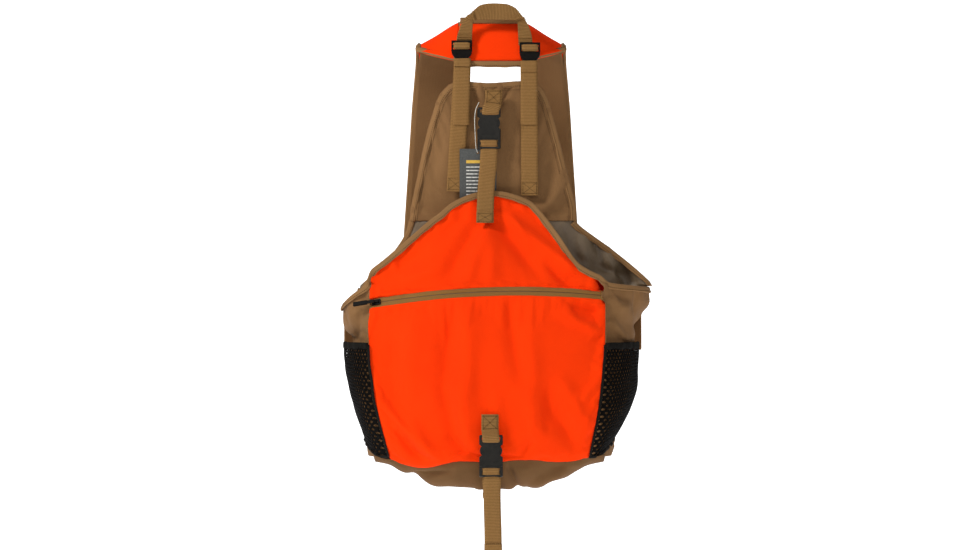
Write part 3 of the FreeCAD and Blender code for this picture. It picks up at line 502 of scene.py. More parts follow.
def ripple(points, scale, height, seed):
    """Small uneven waves, the same on every run."""
    rng = np.random.default_rng(seed)
    total = np.zeros(points.shape[:2])
    for _ in range(7):
        direction = unit(rng.normal(size=3))
        length = scale * rng.uniform(0.7, 1.6)
        total += np.sin(points @ direction * 2 * math.pi / length + rng.uniform(0, 6.28))
    return total * height / 7 ** 0.5


def settle(obj, pinned, slack=0.02, frames=16, pressure=0.0, gravity=0.3, cap=5 * MM, stiff=0.4):
    """Cloth simulation of a sewn panel: its seams stay and the cloth between them finds its creases."""
    mesh = obj.data
    start = np.empty(len(mesh.vertices) * 3)
    mesh.vertices.foreach_get("co", start)
    group = obj.vertex_groups.new(name="sewn")
    group.add([int(i) for i in pinned], 1.0, "REPLACE")
    cloth = obj.modifiers.new("settle", "CLOTH")
    values = cloth.settings
    values.quality = 5
    values.mass = 0.12
    values.tension_stiffness = values.compression_stiffness = 12
    values.shear_stiffness = 4
    values.bending_stiffness = stiff
    values.tension_damping = values.compression_damping = 8
    values.air_damping = 3
    values.shrink_min = -slack
    values.vertex_group_mass = "sewn"
    values.pin_stiffness = 1.0
    values.effector_weights.gravity = gravity
    values.use_pressure = pressure != 0
    values.uniform_pressure_force = pressure
    cloth.collision_settings.use_collision = False
    cloth.point_cache.frame_start = 1
    cloth.point_cache.frame_end = frames + 1
    scene = bpy.context.scene
    for number in range(1, frames + 1):
        scene.frame_set(number)
    result = obj.evaluated_get(bpy.context.evaluated_depsgraph_get())
    end = np.empty(len(mesh.vertices) * 3)
    result.data.vertices.foreach_get("co", end)
    scene.frame_set(1)
    obj.modifiers.remove(cloth)
    obj.vertex_groups.remove(group)
    move = (end - start).reshape(-1, 3)
    size = np.linalg.norm(move, axis=1, keepdims=True)
    move *= np.minimum(1.0, cap / np.maximum(size, 1e-9))
    mesh.vertices.foreach_set("co", (start.reshape(-1, 3) + move).ravel())
    mesh.update()
    return obj


def rim_indices(rows, cols):
    """Vertices on the border of a grid."""
    index = np.arange(rows * cols).reshape(rows, cols)
    return np.unique(np.concatenate((index[0], index[-1], index[:, 0], index[:, -1])))


def points_of(obj, shape):
    """A grid object's points as an array again."""
    flat = np.empty(len(obj.data.vertices) * 3)
    obj.data.vertices.foreach_get("co", flat)
    return flat.reshape(*shape, 3)


def bound_edge(name, path, normals, inward, look="tan_binding", width=BINDING_WIDTH, thick=2.4 * MM,
               body="vest", nodes=(), seed=1):
    """Folded tape over a raw edge. inward is +1 or -1, the side of the path that the cloth is on."""
    path = even(path, 2.4 * MM)
    if np.ndim(normals) == 2:
        normals = even_like(normals, path)
    rng = np.random.default_rng(seed)
    waves = rng.uniform(0, 6.28, 3)
    across = np.linspace(0, 1, 7)
    dome = np.array([0.15, 0.85, 1.0, 0.92, 0.80, 0.95, 0.45])

    def profile(s):
        wobble = 1 + 0.045 * math.sin(s / 0.011 + waves[0]) + 0.03 * math.sin(s / 0.0043 + waves[1])
        lift = 1 + 0.10 * math.sin(s / 0.0056 + waves[2])
        top = np.stack((across * width * wobble * inward, dome * thick / 2 * lift), axis=1)
        low = np.stack((across[::-1] * width * wobble * inward, -dome[::-1] * thick / 2), axis=1)
        return np.vstack((top, low))

    return finish_piece(sweep(name, path, normals, profile), look, body, nodes), path, normals


def even_like(normals, path):
    """Normals spread along a path that has another number of points."""
    ends, at = np.linspace(0, 1, len(normals)), np.linspace(0, 1, len(path))
    return unit(np.stack([np.interp(at, ends, normals[:, k]) for k in range(3)], axis=1))


def beside(path, normals, offset, lift):
    """A path moved sideways in the cloth and up from it."""
    _, normal, side = moving_frame(path, normals)
    return path + side * offset + normal * lift, normal


# ---------------------------------------------------------------- the bag's outline
FACE = tree_of("bag_panel_upper", "bag_panel_lower", "bag_mouth_binding")
BACKSIDE = tree_of("bag_panel_upper", "bag_panel_lower", "bag_mouth_binding", "bag_bottom", "zipper_tape")
SIDES = {"left": tree_of("side_panel_left"), "right": tree_of("side_panel_right")}
MESHES = {"left": tree_of("mesh_pocket_left"), "right": tree_of("mesh_pocket_right")}
SIGN = {"left": -1, "right": 1}
SEAM_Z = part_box("bag_panel_lower")[0].z
ZIP_HALF = 6.4 * MM


def zipper_arc():
    """The zipper's line: a circle about the slider's own hinge, from end to end of the tape."""
    joint = next(j for j in frame["joints"] if j["name"] == "zipper_slide")
    axis, centre = unit(np.array(joint["axis"])), np.array(joint["pos_m"])
    low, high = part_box("zipper_slider")
    arm = np.array((low + high) / 2) - centre
    arm -= axis * (arm @ axis)
    arm *= 1 + 0.8 * MM / np.linalg.norm(arm)
    turn = np.radians(np.linspace(-1.0, joint["range_deg"][1] + 1.4, 160))[:, None]
    rise = axis * ((np.array((low + high) / 2) - centre) @ axis)
    points = centre + rise + arm * np.cos(turn) + np.cross(axis, arm) * np.sin(turn)
    normals = unit(points - centre - rise)
    return points, normals, axis


ZIP_PATH, ZIP_NORMALS, ZIP_UP = zipper_arc()


def zip_z(x):
    """Height of the zipper's middle at x."""
    return float(np.interp(x, ZIP_PATH[:, 0], ZIP_PATH[:, 2]))


def seam_table():
    """Heights, and the x of the left and right seam at each."""
    heights = [z for z in np.linspace(-0.30, SEAM_Z + 1.5 * MM, 60) if not -0.432 < z < -0.392]
    heights = [z for z in heights if from_behind(FACE, 0, z)]
    table = {}
    for name, sign in SIGN.items():
        edge = [abs(last_hit(lambda x: from_behind(FACE, x, z), 0.0, sign * 0.22)) for z in heights]
        widest = max(edge)
        table[name] = [widest if z > -0.39 else e for z, e in zip(heights, edge)]
    return np.array(heights)[::-1], {k: blur(v)[::-1] for k, v in table.items()}


SEAM_HEIGHTS, SEAM_X = seam_table()


def seam_x(place, z):
    """x of a place from -1 (left seam) to 1 (right seam) at height z."""
    side = "left" if place < 0 else "right"
    return place * float(np.interp(z, SEAM_HEIGHTS, SEAM_X[side]))


def rim_z(x):
    """Height of the bag's mouth above x."""
    return last_hit(lambda z: from_behind(FACE, x, z), zip_z(x) + 12 * MM, -0.2)


def back_grid(top, bottom, cols, rows):
    """Points of the bag's back between two heights, each a function of the place across."""
    points = np.empty((rows, cols, 3))
    for j, place in enumerate(np.linspace(-1, 1, cols)):
        high, low = top(place), bottom(place)
        for i, z in enumerate(np.linspace(high, low, rows)):
            x = seam_x(place, z)
            hit = None
            inset = 0.0
            while hit is None and inset < 0.02:
                hit = from_behind(BACKSIDE, x * (1 - inset), z)
                inset += 0.004
            y = hit.y if hit else points[i - 1, j, 1]
            points[i, j] = (x, y, z)
    return points


def dress(points, folds=(), wave=(0.05, 0.6 * MM), seed=1, pucker=0.0, hold=(1, 1, 1, 1), gain=1.0):
    """Lays folds and ripples on a grid; hold says which borders (top, bottom, left, right) stay sewn."""
    rows, cols = points.shape[:2]
    down = np.arange(rows)[:, None] * np.ones((1, cols))
    over = np.ones((rows, 1)) * np.arange(cols)[None]
    reach = [down, rows - 1 - down, over, cols - 1 - over]
    fade = np.ones((rows, cols))
    near = np.full((rows, cols), 1e3)
    for distance, sewn in zip(reach, hold):
        if sewn:
            fade *= np.clip(distance / 4.0, 0, 1)
            near = np.minimum(near, distance)
    height = gain * crease(points, folds) + ripple(points, wave[0], wave[1], seed)
    if pucker:
        height += ripple(points, 0.012, pucker, seed + 50) * np.exp(-near / 3.0)
    normals = normals_of(smooth_grid(points, 8))
    return points + normals * (height * fade)[..., None]


def tuck(points, depth, borders=(1, 1, 1, 1)):
    """Turns the sewn borders in, so that a seam lies in a small valley."""
    out = points.copy()
    normals = normals_of(smooth_grid(points, 8))
    rows, cols = points.shape[:2]
    for edge, sewn in enumerate(borders):
        if not sewn:
            continue
        for step, share in enumerate((1.0, 0.35, 0.08)):
            if edge < 2:
                index = (step if edge == 0 else rows - 1 - step, slice(None))
            else:
                index = (slice(None), step if edge == 2 else cols - 1 - step)
            out[index] -= normals[index] * depth * share
    return out


UPPER_FOLDS = [
    (-17, -303, -66, -385, 13, -2.6), (-5, -312, -40, -396, 12, 2.0), (12, -303, 72, -382, 13, -2.8),
    (16, -292, 118, -372, 9, 1.8), (84, -366, 122, -402, 8, -2.6), (104, -362, 150, -398, 7, 1.8),
    (118, -384, 165, -394, 6, -1.6), (-150, -378, -98, -348, 9, -1.6), (-128, -392, -70, -372, 10, 1.4),
    (2, -330, 0, -396, 12, 1.6), (30, -300, 58, -345, 6, 1.2), (-36, -292, -70, -322, 7, -1.2),
]
LOWER_FOLDS = [
    (-58, -432, -72, -552, 15, -3.2), (-72, -548, -52, -628, 12, -2.6), (-34, -440, -38, -600, 17, 2.4),
    (28, -428, 48, -540, 14, -3.0), (50, -470, 66, -610, 18, 2.2), (84, -560, 126, -640, 13, -3.2),
    (104, -540, 148, -612, 11, 1.8), (112, -424, 164, -446, 9, -3.0), (104, -440, 160, -468, 9, 1.8),
    (-134, -618, -104, -656, 9, -3.0), (-118, -604, -84, -652, 8, 2.2), (-62, -622, -28, -656, 8, -2.2),
    (-150, -470, -138, -590, 16, -1.8), (-112, -440, -124, -560, 18, 1.8), (8, -560, 10, -640, 10, 1.5),
    (60, -628, 40, -656, 7, -1.6),
]


def bottom_z(place):
    """Lower seam of the orange panel: it sags where the load pulls it."""
    x = abs(place) * 0.15
    sag = 9 * MM * math.exp(-((place + 0.66) / 0.30) ** 2) + 2 * MM * math.cos(place * 9)
    return SEAM_Z - sag + 2 * MM * (x > 0.14)


def make_bag_panels():
    """The two orange panels, above and below the zipper."""
    upper = back_grid(lambda p: rim_z(seam_x(p, -0.39)) - 3.5 * MM - 5 * MM * max(0, abs(p) - 0.93) / 0.07,
                      lambda p: zip_z(seam_x(p, -0.41)) + ZIP_HALF, 92, 42)
    lower = back_grid(lambda p: zip_z(seam_x(p, -0.41)) - ZIP_HALF, bottom_z, 92, 64)
    made = []
    for name, points, folds, slack, seed in (
        ("bag_panel_upper", upper, UPPER_FOLDS, 0.012, 3), ("bag_panel_lower", lower, LOWER_FOLDS, 0.014, 4),
    ):
        points = smooth_grid(points, 14)
        points = tuck(dress(points, folds, (0.075, 1.2 * MM), seed, 1.0 * MM, gain=2.9), 1.4 * MM)
        obj = cloth_grid(name + "_cloth", points)
        settle(obj, rim_indices(*points.shape[:2]), slack * 2, 16, 0.6, 0.3, 5 * MM, 0.7)
        solid(obj, CLOTH, -1.0, 1)
        finish_piece(obj, "orange_cloth", "vest", [name])
        made.append(points_of(obj, points.shape[:2]))
    return made


def make_bag_seams(upper, lower):
    """Topstitching beside the zipper, down the sides and along the bottom of the orange panels."""
    up, low = normals_of(upper), normals_of(lower)
    lift = 0.25 * MM
    runs = []
    for points, normals, row in ((upper, up, -4), (lower, low, 3)):
        runs.append((points[row] + normals[row] * lift, normals[row]))
    for points, normals in ((upper, up), (lower, low)):
        for col in (2, -3):
            runs.append((points[2:-2, col] + normals[2:-2, col] * lift, normals[2:-2, col]))
    runs.append((lower[-4] + low[-4] * lift, low[-4]))
    stitches("bag_topstitching", runs, "orange_thread", pitch=3.0 * MM, length=2.2 * MM, radius=0.26 * MM)


def make_zipper():
    """Two tape halves with the coil showing between them."""
    _, normal, side = moving_frame(ZIP_PATH, ZIP_NORMALS)
    half = ZIP_HALF + 1.5 * MM
    gap = 0.5 * MM
    fine = even(ZIP_PATH, 1.2 * MM)
    fine_normals = even_like(ZIP_NORMALS, fine)
    section = flat_section(half - gap, 0.9 * MM, 7)
    parts = []
    for name, sign in (("upper", 1), ("lower", -1)):
        path = fine + ZIP_UP * sign * (gap + (half - gap) / 2) + fine_normals * -0.2 * MM
        ridge = section.copy()
        parts.append(sweep("zipper_tape_" + name, path, fine_normals, lambda s: ridge))
    for obj, nodes in zip(parts, (["zipper_tape"], [])):
        finish_piece(obj, "zipper_tape", "vest", nodes)
    teeth = even(ZIP_PATH, 0.36 * MM)
    teeth_normals = even_like(ZIP_NORMALS, teeth)
    ring = flat_section(3.2 * MM, 1.3 * MM, 5)

    def tooth(s):
        out = ring.copy()
        out[:, 1] *= 0.72 + 0.28 * math.cos(2 * math.pi * s / (1.45 * MM))
        return out

    coil = sweep("zipper_coil_teeth", teeth - teeth_normals * 1.0 * MM, teeth_normals, tooth)
    finish_piece(coil, "zipper_coil", "vest", ["zipper_coil"])
    runs = []
    for sign in (-1, 1):
        runs.append((fine + ZIP_UP * sign * 4.6 * MM + fine_normals * 0.32 * MM, fine_normals))
    stitches("zipper_stitching", runs, "tan_thread", pitch=2.8 * MM, length=2.1 * MM, radius=0.22 * MM)


# ---------------------------------------------------------------- side panels and pockets
def side_points(name, tree, start, stop, cols, rows, top, bottom):
    """Points of a side between two angles; top and bottom give heights at each angle."""
    points = np.empty((rows, cols, 3))
    for j, angle in enumerate(np.linspace(start, stop, cols)):
        for i, z in enumerate(np.linspace(top(angle), bottom(angle), rows)):
            hit = from_side(tree, angle, z)
            points[i, j] = tuple(hit) if hit else (np.nan, np.nan, z)
    for axis in (1, 0):
        fill_gaps(points, axis)
    return points


def fill_gaps(points, axis):
    """Carries the nearest found point into the places that a ray missed."""
    for row in (points if axis == 0 else points.transpose(1, 0, 2)):
        good = ~np.isnan(row[:, 0])
        if good.any() and not good.all():
            index = np.arange(len(row))
            for k in (0, 1):
                row[~good, k] = np.interp(index[~good], index[good], row[good, k])


def seam_angle(side, z):
    """Angle of the side seam seen from above at height z."""
    x = seam_x(SIGN[side] * 0.995, z)
    y = from_behind(FACE, x * 0.99, min(z, -0.44)) or Vector((x, -0.08, z))
    return math.atan2(y.y - AXIS_Y, x)


def sweep_angles(side, start_z, far_y):
    """Angles from the seam, at start_z, to the last angle at which a ray at a fixed height meets the side panel, or
    the mesh pocket if far_y is None.
    """
    start = seam_angle(side, start_z) % (2 * math.pi)
    if side == "right":
        start -= 2 * math.pi
    tree, height = (MESHES[side], -0.56) if far_y is None else (SIDES[side], -0.5)
    return start, last_angle(tree, start, SIGN[side], height)


def last_angle(tree, start, sign, height):
    """The last angle at which a ray towards the axis meets this node, going round from start."""
    met, angle = start, start
    while abs(angle - start) < 2.9:
        if from_side(tree, angle, height) is not None:
            met = angle
        angle += sign * 0.006
    return met - sign * 0.004


def side_edges(side, tree, start, stop, inside):
    """Top and bottom heights of a side node as functions of the angle."""
    angles = np.linspace(start, stop, 60)
    tops, lows = [], []
    for angle in angles:
        seen = from_side(tree, angle, inside) is not None
        tops.append(last_hit(lambda z: from_side(tree, angle, z), inside, -0.33) if seen else np.nan)
        lows.append(last_hit(lambda z: from_side(tree, angle, z), inside, -0.72) if seen else np.nan)
    tops, lows = np.array(tops), np.array(lows)
    good = ~np.isnan(tops)
    order = 1 if stop > start else -1

    def at(values):
        values = blur(np.interp(np.arange(60), np.arange(60)[good], values[good]), 4)
        return lambda angle: float(np.interp(angle * order, angles * order, values))

    return at(tops), at(lows)


SIDE_FOLDS = {
    "left": [(-196, -400, -226, -436, 8, -3.0), (-200, -430, -222, -470, 9, 3.0), (-192, -440, -204, -480, 7, -2.4)],
    "right": [(182, -410, 226, -438, 8, -4.0), (178, -432, 236, -424, 7, 3.4), (196, -452, 226, -466, 7, -3.4),
              (180, -454, 200, -482, 7, 3.0), (214, -420, 222, -474, 6, -2.6)],
}
ROUND_SIDES = {}


RIM = {"left": ((187, -391), (208, -409), (230, -431)), "right": ((171, -393), (205, -399), (243, -404))}


def rim_of_side(side, start, stop):
    """Height of a side panel's top edge by angle: it runs out to the wing's tip and stays there."""
    angles = np.linspace(start, stop, 90)
    reach = []
    for angle in angles:
        hit = from_side(SIDES[side], angle, -0.45)
        reach.append(abs(hit.x) if hit else (reach[-1] if reach else 0.17))
    reach = np.maximum.accumulate(np.array(reach) * RIM[side][-1][0] * MM / max(reach))
    heights = np.interp(reach, [x * MM for x, _ in RIM[side]], [z * MM for _, z in RIM[side]])
    order = 1 if stop > start else -1
    return lambda angle: float(np.interp(angle * order, angles * order, heights))


def make_sides():
    """Tan side panels from the seams round to the front."""
    for side in SIGN:
        start, stop = sweep_angles(side, -0.45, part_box("side_panel_" + side)[1].y - 2 * MM)
        _, low = side_edges(side, SIDES[side], start, stop, -0.5)
        top = rim_of_side(side, start, stop)
        front_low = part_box("front_panel_" + side)[0].z

        def hem(angle):
            forward = max(0.0, ((angle - start) / (stop - start) - 0.3) / 0.7)
            return min(low(angle), -0.657) * (1 - forward) + front_low * forward

        points = side_points(side, SIDES[side], start, stop, 70, 56, lambda a: top(a) - 2 * MM, hem)
        for i, z in enumerate(points[:, 0, 2]):
            x = seam_x(SIGN[side], z)
            hit = from_behind(BACKSIDE, x * 0.99, z)
            if hit:
                points[i, 0] = (x, hit.y + 0.5 * MM, z)
        cover_inside_mesh(side, points, start, stop)
        points = smooth_grid(points, 10)
        ROUND_SIDES[side] = points[0].copy()
        points = dress(points, SIDE_FOLDS[side], (0.055, 2.0 * MM), 11 + SIGN[side], 0.8 * MM,
                       (1, 1, 1, 1), 1.5)
        cover_inside_mesh(side, points, start, stop)
        obj = cloth_grid(f"side_panel_{side}_cloth", points)
        pinned = np.flatnonzero(points[..., 2].ravel() < -0.488)
        settle(obj, np.union1d(rim_indices(56, 70), pinned), 0.04, 16, 0.0, 0.6, 6 * MM, 0.5)
        solid(obj, CLOTH, -1.0, 1)
        finish_piece(obj, "tan_packcloth", "vest", ["side_panel_" + side])


def cover_inside_mesh(side, points, start, stop):
    """Lays the side panel just inside its mesh pocket."""
    for j, angle in enumerate(np.linspace(start, stop, points.shape[1])):
        out = np.array([math.cos(angle), math.sin(angle), 0.0])
        for i, z in enumerate(points[:, j, 2]):
            hit = from_side(MESHES[side], angle, z)
            share = min(1.0, max(0.0, (-0.492 - z) / 0.016)) * min(1.0, j / 5.0)
            if hit is not None and share > 0:
                target = np.array(hit) - out * 2.6 * MM
                points[i, j] += (target - points[i, j]) * share


def net(name, points, cell, strand, thick):
    """Knitted mesh on a grid of points: rings of cloth round six-sided holes."""
    rows, cols = points.shape[:2]
    uv = grid_uv(points)
    length_u, length_v = uv[:, 0].max(), uv[:, 1].max()

    def place(u, v):
        fi = np.clip(v / length_v, 0, 1) * (rows - 1)
        fj = np.clip(u / length_u, 0, 1) * (cols - 1)
        i, j = min(int(fi), rows - 2), min(int(fj), cols - 2)
        a, b = fi - i, fj - j
        low = points[i, j] * (1 - b) + points[i, j + 1] * b
        high = points[i + 1, j] * (1 - b) + points[i + 1, j + 1] * b
        return low * (1 - a) + high * a

    step_u, step_v = cell, cell * 0.86
    angles = np.radians(np.arange(6) * 60 + 30)
    outer = np.stack((np.cos(angles) * cell / 3 ** 0.5, np.sin(angles) * cell / 3 ** 0.5), axis=1)
    verts, faces, index, uvs = [], [], {}, []

    def vertex(u, v):
        key = (round(u / cell * 20), round(v / cell * 20))
        if key not in index:
            index[key] = len(verts)
            verts.append(place(u, v))
            uvs.append((u, v))
        return index[key]

    for r in range(int(length_v / step_v) + 1):
        for c in range(int(length_u / step_u) + 1):
            centre = np.array([(c + 0.5 * (r % 2)) * step_u, r * step_v + cell * 0.5])
            if centre[0] > length_u or centre[1] > length_v:
                continue
            ring = [vertex(*np.clip(centre + o, 0, (length_u, length_v))) for o in outer]
            hole = [vertex(*np.clip(centre + o * (1 - 2 * strand / cell), 0, (length_u, length_v))) for o in outer]
            for k in range(6):
                face = (ring[k], ring[(k + 1) % 6], hole[(k + 1) % 6], hole[k])
                if len(set(face)) == 4:
                    faces.append(face)
    obj = mesh_object(name, verts, faces, uvs)
    shell = obj.modifiers.new("thickness", "SOLIDIFY")
    shell.thickness = thick
    shell.offset = 0
    return obj


def make_mesh_pockets():
    """Black mesh pockets with gathered elastic hems."""
    low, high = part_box("pocket_elastics")
    for side in SIGN:
        box_low, box_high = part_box("mesh_pocket_" + side)
        start, stop = sweep_angles(side, -0.5, None)
        top, bottom = side_edges(side, MESHES[side], start, stop, -0.56)
        points = side_points(side, MESHES[side], start, stop, 40, 46, lambda a: box_high.z + 6 * MM, bottom)
        for i, z in enumerate(points[:, 0, 2]):
            x = seam_x(SIGN[side], z)
            hit = from_behind(BACKSIDE, x * 0.985, z)
            if hit:
                points[i, 0] = (x, hit.y, z)
        points = smooth_grid(points, 6)
        share = np.linspace(0, 1, 46)[:, None]
        over = np.linspace(0, 1, 40)[None]
        gather = np.sin(over * 2 * math.pi * 7) * 1.3 * MM * np.exp(-share * 9)
        bulge = 2.0 * MM * np.sin(share * math.pi) * np.sin(over * math.pi)
        normals = normals_of(points)
        points = points + normals * (gather + bulge + ripple(points, 0.05, 0.6 * MM, 21))[..., None]
        obj = net(f"mesh_pocket_{side}_net", points, 6.0 * MM, 1.45 * MM, 0.7 * MM)
        finish_piece(obj, "black_mesh", "vest", ["mesh_pocket_" + side])
        hem = points[0] + np.array([0, 0, -1.5 * MM])
        outline = unit(normals[0])
        ring = flat_section(10.5 * MM, 1.6 * MM, 7)
        path = even(hem, 1.2 * MM)
        path_normals = even_like(outline, path)

        def gathered(s):
            out = ring.copy()
            out[:, 1] *= 1 + 0.35 * math.cos(2 * math.pi * s / (3.6 * MM))
            return out

        hem_obj = sweep(f"pocket_elastic_{side}", path, path_normals, gathered)
        finish_piece(hem_obj, "black_elastic", "vest", ["pocket_elastics"] if side == "left" else [])
        edges = [(points[:, 0] + normals[:, 0] * 0.8 * MM, normals[:, 0]),
                 (points[-1] + normals[-1] * 0.8 * MM, normals[-1]), (points[:, -1], normals[:, -1])]
        for number, (line, line_normals) in enumerate(edges):
            tape_path = even(line, 2 * MM)
            tape = sweep(f"mesh_edge_{side}_{number}", tape_path, even_like(line_normals, tape_path),
                         lambda s: flat_section(4.5 * MM, 1.0 * MM, 5))
            finish_piece(tape, "black_elastic", "vest")


def make_bottom(lower):
    """Tan bottom panel, in a darker tan as painted shade: from the orange panel's seam under the bag to the liner."""
    seam = lower[-1]
    far = math.copysign(1.0, seam[0][0])
    ends = [seam[k] + np.array([way * 25, 15, 5]) * MM for k, way in ((0, far), (-1, -far))]
    halves = [seam[k] + np.array([way * 12, 6, 0]) * MM for k, way in ((0, far), (-1, -far))]
    seam = np.vstack((ends[0], halves[0], seam, halves[1], ends[1]))
    cols = len(seam)
    low_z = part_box("bag_bottom")[0].z
    rows = 26
    points = np.empty((rows, cols, 3))
    for j, start in enumerate(seam):
        share = abs(seam_place(j, cols))
        under = low_z + 41 * MM * share ** 2.6
        curve = np.array([
            start,
            (start[0] * 0.995, start[1] + 5 * MM, start[2] * 0.55 + under * 0.45 - 1 * MM),
            (start[0] * 0.985, start[1] * 0.72 - 0.006, under + 3 * MM * (1 - share)),
            (start[0] * 0.955, start[1] * 0.40 - 0.006, under + 2 * MM),
            (start[0] * 0.92, -0.012 + 0.02 * share, under + 9 * MM),
        ])
        points[:, j] = np.stack([resample(curve, 1)[:0].size or np.interp(
            np.linspace(0, 1, rows), np.linspace(0, 1, 97), catmull(curve)[:, k]) for k in range(3)], axis=1)
    points = smooth_grid(points, 4)
    folds = [(-120, -684, -60, -676, 5, -2.2), (24, -668, 40, -704, 5, -3.0), (60, -700, 110, -676, 5, 2.2),
             (-20, -700, 4, -684, 5, 2.0)]
    points = dress(points, folds, (0.05, 1.8 * MM), 31, 0.8 * MM, gain=3.0)
    obj = cloth_grid("bag_bottom_cloth", points)
    solid(obj, CLOTH, -1.0, 1)
    # The bottom takes the darker tan: painted shade for a panel that faces down.
    finish_piece(obj, "painted_shade_cloth", "vest", ["bag_bottom"])
    return points


def seam_place(j, cols):
    """Place from -1 to 1 of a column."""
    return -1 + 2 * j / (cols - 1)


def catmull(points, count=24):
    """A smooth curve through a few points, evenly parametrised."""
    padded = np.vstack((2 * points[0] - points[1], points, 2 * points[-1] - points[-2]))
    fine = []
    for a, b, c, d in zip(padded, padded[1:], padded[2:], padded[3:]):
        for t in np.linspace(0, 1, count, endpoint=False):
            fine.append(0.5 * (2 * b + (c - a) * t + (2 * a - 5 * b + 4 * c - d) * t ** 2
                               + (3 * b - a - 3 * c + d) * t ** 3))
    fine.append(points[-1])
    return np.array(fine)


def make_mouth_binding():
    """Binding along the bag's mouth and on round both side panels."""
    xs = np.concatenate((np.linspace(-SEAM_X["left"].max(), -0.06, 46), np.linspace(-0.056, 0.056, 26),
                         np.linspace(0.06, SEAM_X["right"].max(), 46)))
    heights = blur([rim_z(x * 0.995) for x in xs], 8)
    middle = []
    for x, z in zip(xs, heights):
        hit = from_behind(FACE, x * 0.99, z - 4 * MM)
        middle.append((x, hit.y if hit else middle[-1][1], z))
    left = ROUND_SIDES["left"][::-1][:-4] + np.array([0, 0, 2 * MM])
    right = ROUND_SIDES["right"][4:] + np.array([0, 0, 2 * MM])
    path = even(np.vstack((left, np.array(middle)[2:-2], right)), 2.4 * MM)
    path = np.stack([blur(path[:, k], 5) for k in range(3)], axis=1)
    path = even(path, 2.4 * MM)
    travel = np.gradient(path, axis=0)
    outward = np.stack((travel[:, 1], -travel[:, 0], np.zeros(len(path))), axis=1)
    outward = np.stack([blur(outward[:, k], 12) for k in range(3)], axis=1)
    outward = unit(outward) + np.array([0, 0, 0.30])
    path = path + unit(outward) * 0.6 * MM
    bound, line, normals = bound_edge("bag_mouth_tape", path, unit(outward), 1.0, seed=5,
                                      nodes=["bag_mouth_binding"])
    sewn, sewn_normals = beside(line, normals, 7.2 * MM, 1.15 * MM)
    stitches("bag_mouth_stitching", [(sewn, sewn_normals)], "dark_thread")


# ---------------------------------------------------------------- back panel and liner
def edges_of(tree, sign, heights, inside=0.0, outside=0.26):
    """x of one edge of a node at each height, seen from behind."""
    return np.array([last_hit(lambda x: from_behind(tree, x, z), inside, sign * outside) for z in heights])


def sheet_behind(tree, heights, left, right, cols):
    """Points of a panel seen from behind, between its edges at each height."""
    points = np.empty((len(heights), cols, 3))
    for i, z in enumerate(heights):
        for j, x in enumerate(np.linspace(left[i], right[i], cols)):
            hit = from_behind(tree, x * 0.995, z)
            points[i, j] = (x, hit.y if hit else points[i, j - 1, 1], z)
    return points


LEFT_CORNER = ((-94, -50), (-97, -60), (-104, -68), (-112, -75), (-122, -81), (-138, -86), (-156, -91))
RIGHT_CORNER = ((-94, 60), (-98, 70), (-104, 76), (-111, 80), (-131, 90), (-156, 97))


def rounded(heights, edge, corner, sign):
    """An edge of the back panel drawn in at its rounded top corner."""
    levels = [z * MM for z, _ in corner][::-1]
    places = [x * MM for _, x in corner][::-1]
    inner = np.interp(heights, levels, places)
    near = heights > levels[0]
    return np.where(near, sign * np.minimum(sign * edge, sign * inner), edge)


def make_back_panel():
    """Back panel of tan pack cloth with its bound edge and the seam line inside it."""
    tree = tree_of("back_panel")
    low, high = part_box("back_panel")
    heights = np.linspace(high.z + 3.5 * MM, low.z + 1 * MM, 72)
    seen = np.minimum(heights, high.z - 1 * MM)
    left, right = (blur(edges_of(tree, sign, seen), 4) for sign in (-1, 1))
    left = blur(rounded(heights, left, LEFT_CORNER, -1), 2)
    right = blur(np.minimum(rounded(heights, right, RIGHT_CORNER, 1), 128 * MM), 2)
    points = sheet_behind(tree, seen, left, right, 60)
    points[..., 2] = heights[:, None]
    dip = 3.4 * MM * np.exp(-((points[..., 0] + 3 * MM) / (30 * MM)) ** 2)
    points[..., 2] -= dip * np.clip(1 - np.arange(72) / 14.0, 0, 1)[:, None]
    points = smooth_grid(points, 6)
    top, x_mid = high.z / MM, -3
    folds = [(x_mid - 30, top - 6, x_mid - 9, top - 34, 6, -3.2), (x_mid + 32, top - 6, x_mid + 12, top - 34, 6, -3.2),
             (x_mid - 17, top - 4, x_mid - 6, top - 26, 5, 2.2), (x_mid + 19, top - 4, x_mid + 8, top - 26, 5, 2.2),
             (x_mid - 12, top - 46, -30, top - 120, 8, -1.8), (x_mid + 12, top - 46, 34, top - 130, 8, -1.6),
             (70, top - 60, 96, top - 150, 9, -1.6), (-70, top - 60, -88, top - 140, 8, -1.4),
             (0, top - 60, 4, top - 150, 12, 1.2)]
    dressed = dress(points, folds, (0.07, 1.1 * MM), 41, 0.6 * MM, (1, 1, 1, 1), 1.7)
    obj = cloth_grid("back_panel_cloth", dressed)
    settle(obj, rim_indices(72, 60), 0.016, 12, 0.0, 0.3, 3 * MM, 0.8)
    solid(obj, 2.0 * MM, -1.0, 1)
    finish_piece(obj, "tan_packcloth", "vest", ["back_panel"])
    outline = even(np.vstack((points[1:, 0][::-1], points[0], points[1:, -1])), 2.4 * MM)
    path = np.stack([blur(outline[:, k], 5) for k in range(3)], axis=1)
    normals = np.tile(np.array([0.0, -1.0, 0.1]), (len(path), 1))
    normals[:, 0] = path[:, 0] * 4
    path = path + unit(normals) * 0.9 * MM
    _, line, line_normals = bound_edge("back_panel_tape", path, unit(normals), 1.0, seed=8,
                                       nodes=["back_panel_binding"])
    first = beside(line, line_normals, 7.4 * MM, 1.1 * MM)
    second = beside(line, line_normals, 13.0 * MM, 0.4 * MM)
    stitches("back_panel_stitching", [first], "dark_thread")
    stitches("back_panel_inner_stitching", [second], "dark_thread", pitch=2.8 * MM, length=2.3 * MM, radius=0.3 * MM)


WING = ((-300, 124), (-308, 127), (-324, 149), (-344, 178), (-370, 211), (-396, 240), (-404, 243))


